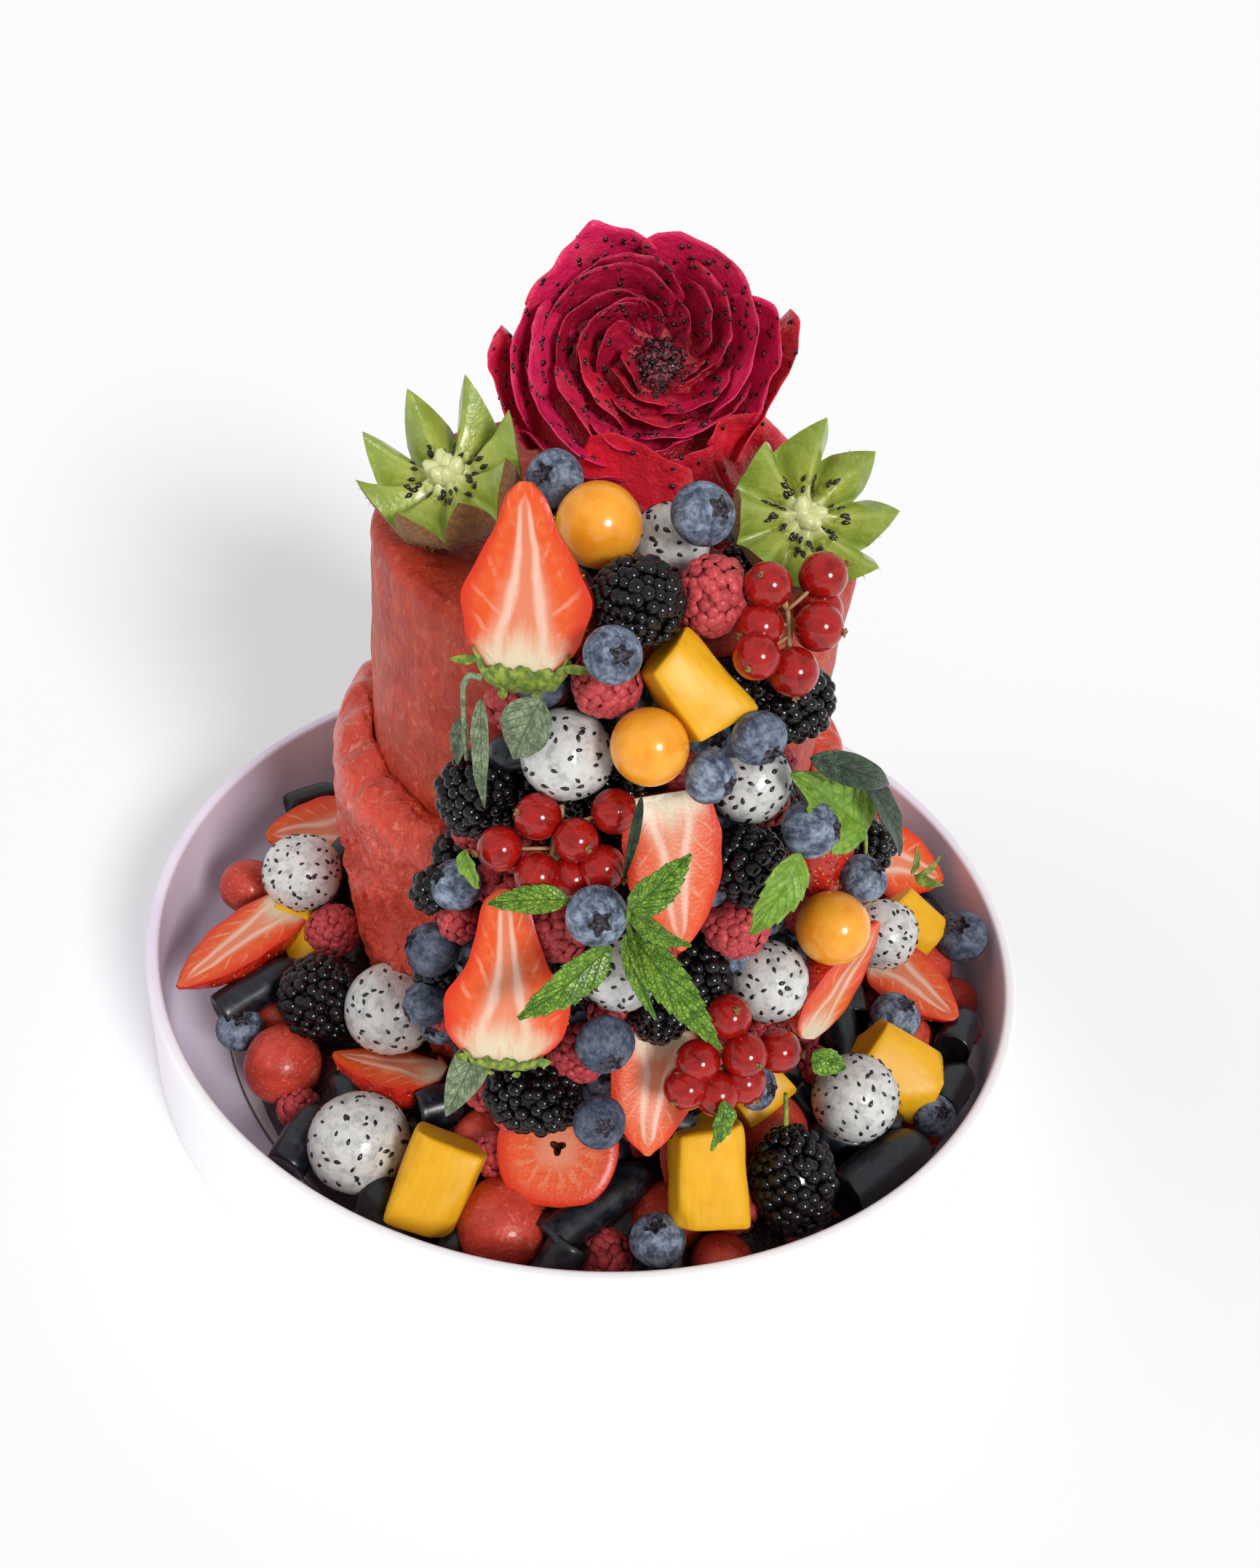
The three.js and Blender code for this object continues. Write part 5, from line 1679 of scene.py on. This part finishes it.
def laid_fruit(pile):
    """The fruit on top of the bed that is laid one by one."""

    def put(kind, shape, matrix, *room):
        """Adds a fruit and keeps its room: spheres along its Y axis, each by its place and radius."""
        pile.add(kind, shape, matrix, own_tone(kind, dice("laid", kind, *matrix[:3, 3].round(3))))
        for along, radius in room:
            pile.hold(matrix[:3, 3] + matrix[:3, 1] * along, radius)

    white_balls = (
        ((-93, -9, 52), 12.6), ((-56, -56, 44), 14), ((-59, -94, 28), 14.6), ((83, -72, 44), 12.9),
        ((96, -5, 48), 11.5),
    )
    for i, (point, radius) in enumerate(white_balls):
        put("white_pitaya", pitaya_ball(radius, f"laid{i}", 120), facing(point, 0, 45, 40 * i), (0, radius))
    melon_balls = ((-115, 5, 30), 9.5), ((-88, -63, 22), 12), ((-15, -113, 23), 13.3), ((60, -76, 30), 11.6)
    for i, (point, radius) in enumerate(melon_balls):
        put("melon", melon_ball(radius, f"laid{i}"), facing(point, 0, 60), (0, radius))
    # Point, radius, and where the crown looks.
    blueberries = (
        ((-104, -52, 24), 7.3, (0.2, 0.5)), ((28, -118, 30), 7.8, (-0.2, 0.7)),
        ((99, -34, 40), 8, (0.3, 0.6)), ((126, 11, 36), 9, (-0.3, 0.4)), ((111, -62, 28), 6.7, (0.2, 0.3)),
    )
    for i, (point, radius, lean) in enumerate(blueberries):
        put("blueberry", blueberry(radius, f"laid{i}", lean), facing(point, 0, 45), (0, radius))
    # Point, sizes, angle, tilt and spin.
    chunks = (
        ((-91, -17, 34), (15, 22, 13), -30, 50, 60), ((-35, -108, 32), (21, 26, 17), 0, 40, -16),
        ((40, -104, 44), (21, 28, 18), 8, 35, 4), ((98, -52, 36), (23, 26, 17), 20, 45, 50),
        ((108, 12, 38), (17, 20, 15), 40, 55, 20), ((86, 28, 48), (12, 17, 11), 20, 30, 70),
        ((55, -73, 42), (12, 17, 10), 20, 45, -60),
    )
    for i, (point, sizes, *turn) in enumerate(chunks):
        put("mango", mango_chunk(*sizes, f"laid{i}"), facing(point, *turn), (0, max(sizes) * 0.5))
    put("raspberry", raspberry(9, 1.15, "laid0"), facing((-80, -21, 40), -20, 40, -40), (0, 9))
    put("raspberry", raspberry(9, 1.1, "laid1"), facing((13, -116, 18), 0, 50, 30), (0, 9))
    put("bramble", bramble(13.0, 1.12, "laid0", 3.9), facing((-79, -49, 38), -20, 40, 40), (0, 13))
    put("bramble", bramble(8.5, 1.1, "laid2", 3.8), facing((70, -42, 60), 40, 30, 20), (0, 8))
    at = facing((65, -98, 36), 20, 30, 4)
    put("bramble", bramble(12.6, 1.45, "laid1", 4.0), at, (-6, 12), (6, 12))
    stalk = curved_stem([(0, 17, 0), (0.5, 22, 0.5), (0.3, 27, 2)], (0.9, 0.6), "calyx_green")
    pile.add("green", stalk, at)
    # Cut end, other end and radius.
    grapes = (
        ((-3, -120, 27), (25, -93, 30), 6.6), ((-111, -50, 28), (-88, -30, 33), 6.5),
        ((-80, -99, 20), (-71, -76, 24), 6), ((81, -95, 27), (108, -70, 27), 7.8),
        ((118, -37, 31), (126, -18, 29), 6.2), ((112, -58, 28), (123, -40, 27), 6.2),
        ((-112, 48, 31), (-94, 60, 31), 4.8), ((-44, -84, 33), (-30, -78, 33), 6),
    )
    for i, (cut, tip, radius) in enumerate(grapes):
        long = math.dist(cut, tip) / 2
        room = [(share * (long - radius), radius) for share in (-1, 0, 1)]
        put("grape", grape(radius, long, f"laid{i}", 0.8), lying(cut, tip), *room)
    # Shoulder, tip, which way its cut side looks, width, depth and outline.
    halves = (
        ((-96, -11, 41), (-123, -50, 38), (-0.3, -0.25, 0.92), 23, 11, "straight"),
        ((-80, 30, 42), (-113, 22, 38), (-0.1, -0.5, 0.86), 26, 9, "plain"),
        ((-38, -70, 34), (-72, -66, 33), (0, 0.35, 0.94), 26, 12, "plain"),
        ((95, -6, 40), (120, -29, 38), (0.1, -0.3, 0.95), 24, 10, "plain"),
    )
    for i, (shoulder, tip, towards, width, depth, outline) in enumerate(halves):
        length = math.dist(shoulder, tip)
        shape = strawberry_half(length, width, depth, f"laid{i}", outline)
        room = (-length * 0.3, width * 0.42), (0, width * 0.46), (length * 0.3, width * 0.3)
        put("strawberry", shape, lying(shoulder, tip, towards), *room)
    put("strawberry", strawberry_round(17, 8, 3), facing((-2, -101, 44), 0, 50), (0, 15))
    at = facing((110, 40, 40), 40, 40, 235)
    put("strawberry", strawberry_half(34, 26, 11, "laid4"), at, (0, 13))
    pile.add("green", calyx("laid4", 8, 11).shifted((0, -16.5, -3)), at)
    at = facing((38, -88, 38), 10, 40, 12)
    put("strawberry", strawberry_half(38, 26, 10, "laid5"), at, (-6, 9), (8, 8))


def packed_ring(pile):
    """Fills the ring round the lower tier, a layer on top and one below it. In front, where fruit was laid
    one by one, only what may show between it is packed, and lower."""
    rng = dice("bed")
    below = (("melon", 0.45, (8, 11.5)), ("grape", 0.35, (7, 9)), ("raspberry", 0.2, (7.5, 8.5)))
    on_top = (
        ("melon", 0.26, (9, 12.5)), ("white_pitaya", 0.13, (9.5, 12)), ("blueberry", 0.2, (6.5, 8)),
        ("grape", 0.12, (7.5, 9)), ("mango", 0.1, (8.5, 10.5)), ("strawberry", 0.1, (9, 11)),
        ("raspberry", 0.05, (8, 9)), ("bramble", 0.04, (9, 10)),
    )
    # How much smaller the last fruits of a layer are, how deep the layer below is, how much lower the bed
    # is in front, and where its lowest fruit rests.
    smaller, layer_drop, front_drop, rest = 0.12, 13, 6.5, 7
    foot = lower_radius(40)
    count = 0
    for layer, tries in ((0, 2600), (1, 1800)):
        for attempt in range(tries):
            angle, share = rng.uniform(0, TAU), rng.uniform(0, 1)
            in_front = math.sin(angle) < 0.35
            kind, radius = drawn(below if in_front or layer else on_top, rng)
            radius *= 1 - smaller * (attempt > tries * 0.6)
            near, far = foot + radius + 0.5, bed_edge(angle) - radius
            reach = near + (far - near) * share
            height = bed_top((reach - foot) / (bed_edge(angle) - foot))
            height = height - radius * 0.82 + rng.uniform(-2, 1.5)
            height = max(height - layer_drop * layer - front_drop * in_front * (layer == 0), rest + radius)
            centre = ring(reach, angle, height) + (TOWER[0] * (1 - share), 0, 0)
            if not pile.takes(centre, radius, 0.84 - 0.06 * layer):
                continue
            count += 1
            outward = math.degrees(math.atan2(centre[0], -centre[1]))
            matrix = facing(centre, outward, rng.uniform(35, 80), rng.uniform(0, 360))
            pile.add(kind, fruit_of(kind, radius, f"bed{count}"), matrix, own_tone(kind, rng))


def tucked_limits(height):
    """The angles, in degrees from the front, between which fruit is tucked behind the cascade."""
    return np.interp(height, (120, 140), (-26, -18)), np.interp(height, (130, 142), (58, 42))


def add_bed():
    pile = Pile()
    for number in range(1, 14):
        pile.hold_node(f"blueberry_{number}")
    berries = [f"strawberry_{i}" for i in (4, 5, 6)] + ["bramble_9", "bramble_8", "raspberry_5"]
    for node in (*berries, "currants_3", "pitaya_ball_5"):
        pile.hold_node(node)
    laid_fruit(pile)
    packed_ring(pile)
    green = pile.kinds.pop("green")
    build_kinds("bed", pile.kinds)
    build("bed_greenery", together(green))
    # Under the loose fruit a core painted in shade fills the gaps.
    turn = turns(96)
    edge = np.array([bed_edge(a) for a in turn]) - 5
    rows = []
    near, floor, cover = 68.0, 6.6, 19
    for share, covered in ((0, 0), (1, 0), (1, 1), (0.8, 1), (0.45, 1), (0.1, 1), (0, 1)):
        reach = near + (edge - near) * (0.97 * share)
        height = bed_top(share) - cover if covered else floor
        rows.append(ring(reach, turn, height) + (TOWER[0] * (1 - share), 0, 0))
    points = np.array(rows)
    points[2:-1, :, 2] += 1.5 * ripple(points[2:-1], 14, "bed core")
    build("bed_core", woven(points, "packed_fruit", caps=(False, False)), ["fruit_bed"])


def wall_radius(height):
    """How far the tiers' walls are from their middle."""
    return lower_radius(height) if height < SHOULDER else UPPER_RADIUS


def from_front(reach, angle, height):
    """A point, or points, that far from the tower's middle, at angles from the front."""
    return points_at(TOWER[0] + reach * np.sin(angle), -reach * np.cos(angle), height)


def add_tucked():
    """Fruit in the shade behind the cascade, and under the rose."""
    pile = Pile()
    behind = ("tray", "board", "lower_tier", "upper_tier", "tucked_fruit", "top_mound", "fruit_bed")
    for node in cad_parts:
        if node not in behind:
            pile.hold_node(node)
    # Under the lip of the rose there is nothing but the rose.
    for x, y in ((-10, -24), (3, -30), (14, -28)):
        pile.hold(np.array([x, y, 202.0]), 9)
    rng = dice("tucked")
    low, high = box("tucked_fruit")
    mix = (
        ("bramble", 0.38, (6.5, 8.5)), ("raspberry", 0.34, (6.5, 8.5)), ("blueberry", 0.14, (5.5, 7)),
        ("grape", 0.14, (6, 8)),
    )
    count = 0
    # How far from the tower's middle the fruit comes at each height.
    reaches = (50, 74, 96, 112, 124, 145, 186), (103, 97, 93, 90, 86, 79, 76)
    for _ in range(2400):
        kind, radius = drawn(mix, rng)
        height = rng.uniform(low[2] + 4, high[2] + 2)
        left, right = tucked_limits(height)
        angle = math.radians(rng.uniform(left, right))
        wall = wall_radius(height)
        reach = np.interp(height, *reaches)
        side = abs((math.degrees(angle) - (left + right) / 2) / ((right - left) / 2))
        out = rng.uniform(wall + radius, max(wall + radius + 0.5, wall + (reach - wall) * (1 - side**4)))
        centre = from_front(out, angle, height)
        if not pile.takes(centre, radius, 0.74):
            continue
        count += 1
        tone = own_tone(kind, rng)
        at = facing(centre, math.degrees(angle), 30, rng.uniform(0, 360))
        pile.add(kind, fruit_of(kind, radius, f"tucked{count}"), at, tone)
    top = middle("top_mound")
    for _ in range(500):
        radius = rng.uniform(5.5, 8)
        angle, out = rng.uniform(0, TAU), rng.uniform(0, 30)
        centre = ring(out, angle, UPPER_TOP + radius + rng.uniform(0, 6)) + (*top[:2], 0)
        if not pile.takes(centre, radius, 0.74):
            continue
        count += 1
        kind = ("raspberry", "bramble", "blueberry")[count % 3]
        tone = own_tone(kind, rng)
        at = facing(centre, 0, 50, rng.uniform(0, 360))
        pile.add(kind, fruit_of(kind, radius, f"top{count}"), at, tone)
    # Behind the tucked fruit a core painted in shade fills the gaps.
    columns, rows = 26, []
    for level in np.linspace(low[2], high[2] - 1, 24):
        wall = wall_radius(level)
        reach = np.interp(level, *reaches) - 6
        left, right = tucked_limits(level)
        angles = np.radians(np.linspace(left + 2, right - 4, columns))
        side = np.linspace(-1, 1, columns)
        out = wall + 1 + np.maximum(0.3, (reach - wall - 5)) * (1 - side**4)
        front, back = (from_front(reach, angles, level) for reach in (out, wall + 0.5))
        rows.append(np.concatenate([front, back[::-1]]))
    points = np.array(rows)
    points[:, :columns] += 0.8 * ripple(points[:, :columns], 9, "tucked core")[..., None] * (0, -1, 0)
    build("tucked_core", woven(points, "packed_fruit"), ["tucked_fruit"])
    profile = ((22, 0.2), (20.9, 3), (15.4, 6), (6.6, 7))
    mound = [ring(out, turns(40), UPPER_TOP + height) + (*top[:2], 0) for out, height in profile]
    build("mound_core", woven(mound, "packed_fruit"), ["top_mound"])
    build_kinds("tucked", pile.kinds)


# ---- Leaves
def add_leaves():
    """Mint and other leaves: each from its stalk to its tip, its upper side outwards."""
    # Finish, base, tip, width, curl, fold, teeth, how far it rolls about its length.
    table = (
        ("mint_leaf", (9, -113, 147), (21, -107, 160), 10, 0.5, 0.35, 8, 0),
        ("mint_leaf", (9, -108, 142), (24, -114, 139), 7, 0.7, 0.3, 7, 20),
        ("mint_leaf", (-5, -105, 141), (-24, -104, 136), 7.5, 0.7, 0.3, 9, 35),
        ("mint_leaf", (6, -108, 130), (-14, -120, 116), 11, 0.5, 0.3, 9, 0),
        ("mint_leaf", (10, -106, 133), (34, -123, 115), 10.5, 0.9, 0.3, 10, -15),
        ("mint_leaf", (9, -108, 135), (18, -120, 120), 5, 0.5, 0.45, 8, 30),
        ("bright_leaf", (68.5, -63, 138), (46, -77, 163), 23, 0.4, 0.15, 6, 0),
        ("dark_leaf", (48, -81, 172), (71, -67.5, 156.5), 9, 1.0, 0.25, 0, 0),
        ("dark_leaf", (63.5, -71, 161), (80, -60, 128), 8, 0.5, 0.3, 0, 0),
        ("bright_leaf", (49, -90, 150), (40, -98, 130), 11, 0.6, 0.3, 7, 15),
        ("dark_leaf", (9, -97, 168), (7, -99, 144), 2.8, 0.6, 0.5, 0, 0),
        ("mint_leaf", (60, -106, 98), (69, -106, 94), 8.5, 0.6, 0.3, 6, 0),
        ("mint_leaf", (39, -115, 87), (37, -122, 76), 7.5, 0.6, 0.35, 6, -10),
        ("grey_leaf", (-16, -90, 187), (-21.5, -89, 169), 14, 0.5, 0.25, 0, 0),
        ("grey_leaf", (-30, -85, 182), (-28, -87, 152), 5, 0.3, 0.4, 0, 0),
        ("grey_leaf", (-35, -76, 170), (-36, -77, 156), 5, 0.5, 0.4, 0, -10),
        ("grey_leaf", (-24, -106, 90), (-31, -118, 74), 11, 0.6, 0.35, 0, 0),
        ("bright_leaf", (-31, -98, 147), (-27, -102, 139), 7, 0.4, 0.3, 5, 30),
        ("calyx_green", (85, -63, 123), (91, -60, 129), 4, 0.6, 0.3, 0, 0),
        ("calyx_green", (85, -63, 123), (92, -66, 124), 3.5, 0.6, 0.3, 0, 0),
        ("calyx_green", (84, -63, 124), (84, -60, 131), 3.5, 0.6, 0.3, 0, 0),
    )
    greenery = {}
    for number, (finish, base, tip, width, curl, fold, teeth, roll) in enumerate(table):
        base, tip = np.array(base, float), np.array(tip, float)
        along = unit(tip - base)
        middle_point = (base + tip) / 2
        out = unit(middle_point - (*TOWER, 60 + middle_point[2] * 0.35))
        out = unit(out - along * (out @ along))
        out, _ = swung(out, np.cross(along, out), math.radians(roll))
        # A curled leaf sets off outwards, so that its tip comes down where it should.
        along, out = swung(along, out, curl / 2)
        blade = leaf(finish, float(np.linalg.norm(tip - base)) * 1.04, width, number, curl, fold, teeth)
        blade = blade.moved(axes(np.cross(along, out), along, out, base))
        greenery.setdefault("mint" if teeth > 4 else "sepals", []).append(blade)
    grey = [(-30, -85.5, 188), (-33, -85.5, 188.5), (-34.3, -85, 185), (-34, -85, 177), (-33, -84, 163)]
    greenery["sepals"].append(curved_stem(grey, (0.9, 0.5), "grey_leaf"))
    mint_stems = [
        [(9, -106, 136), (9, -109, 141), (9, -111, 148)],
        [(9, -106, 136), (11, -107, 132), (12, -108, 128)],
        [(68.5, -63, 138), (70, -62, 133), (71, -61, 128)],
    ]
    greenery["mint"] += [curved_stem(points, (0.7, 0.5), "bright_leaf") for points in mint_stems]
    build("mint_sprigs", together(greenery["mint"]))
    build("loose_sepals", together(greenery["sepals"]))


make_finishes()
add_camera()
add_surroundings()
add_tray()
add_board()
add_upper_tier()
add_lower_tier()
add_kiwis()
add_rose()
add_cascade()
add_bed()
add_tucked()
add_leaves()
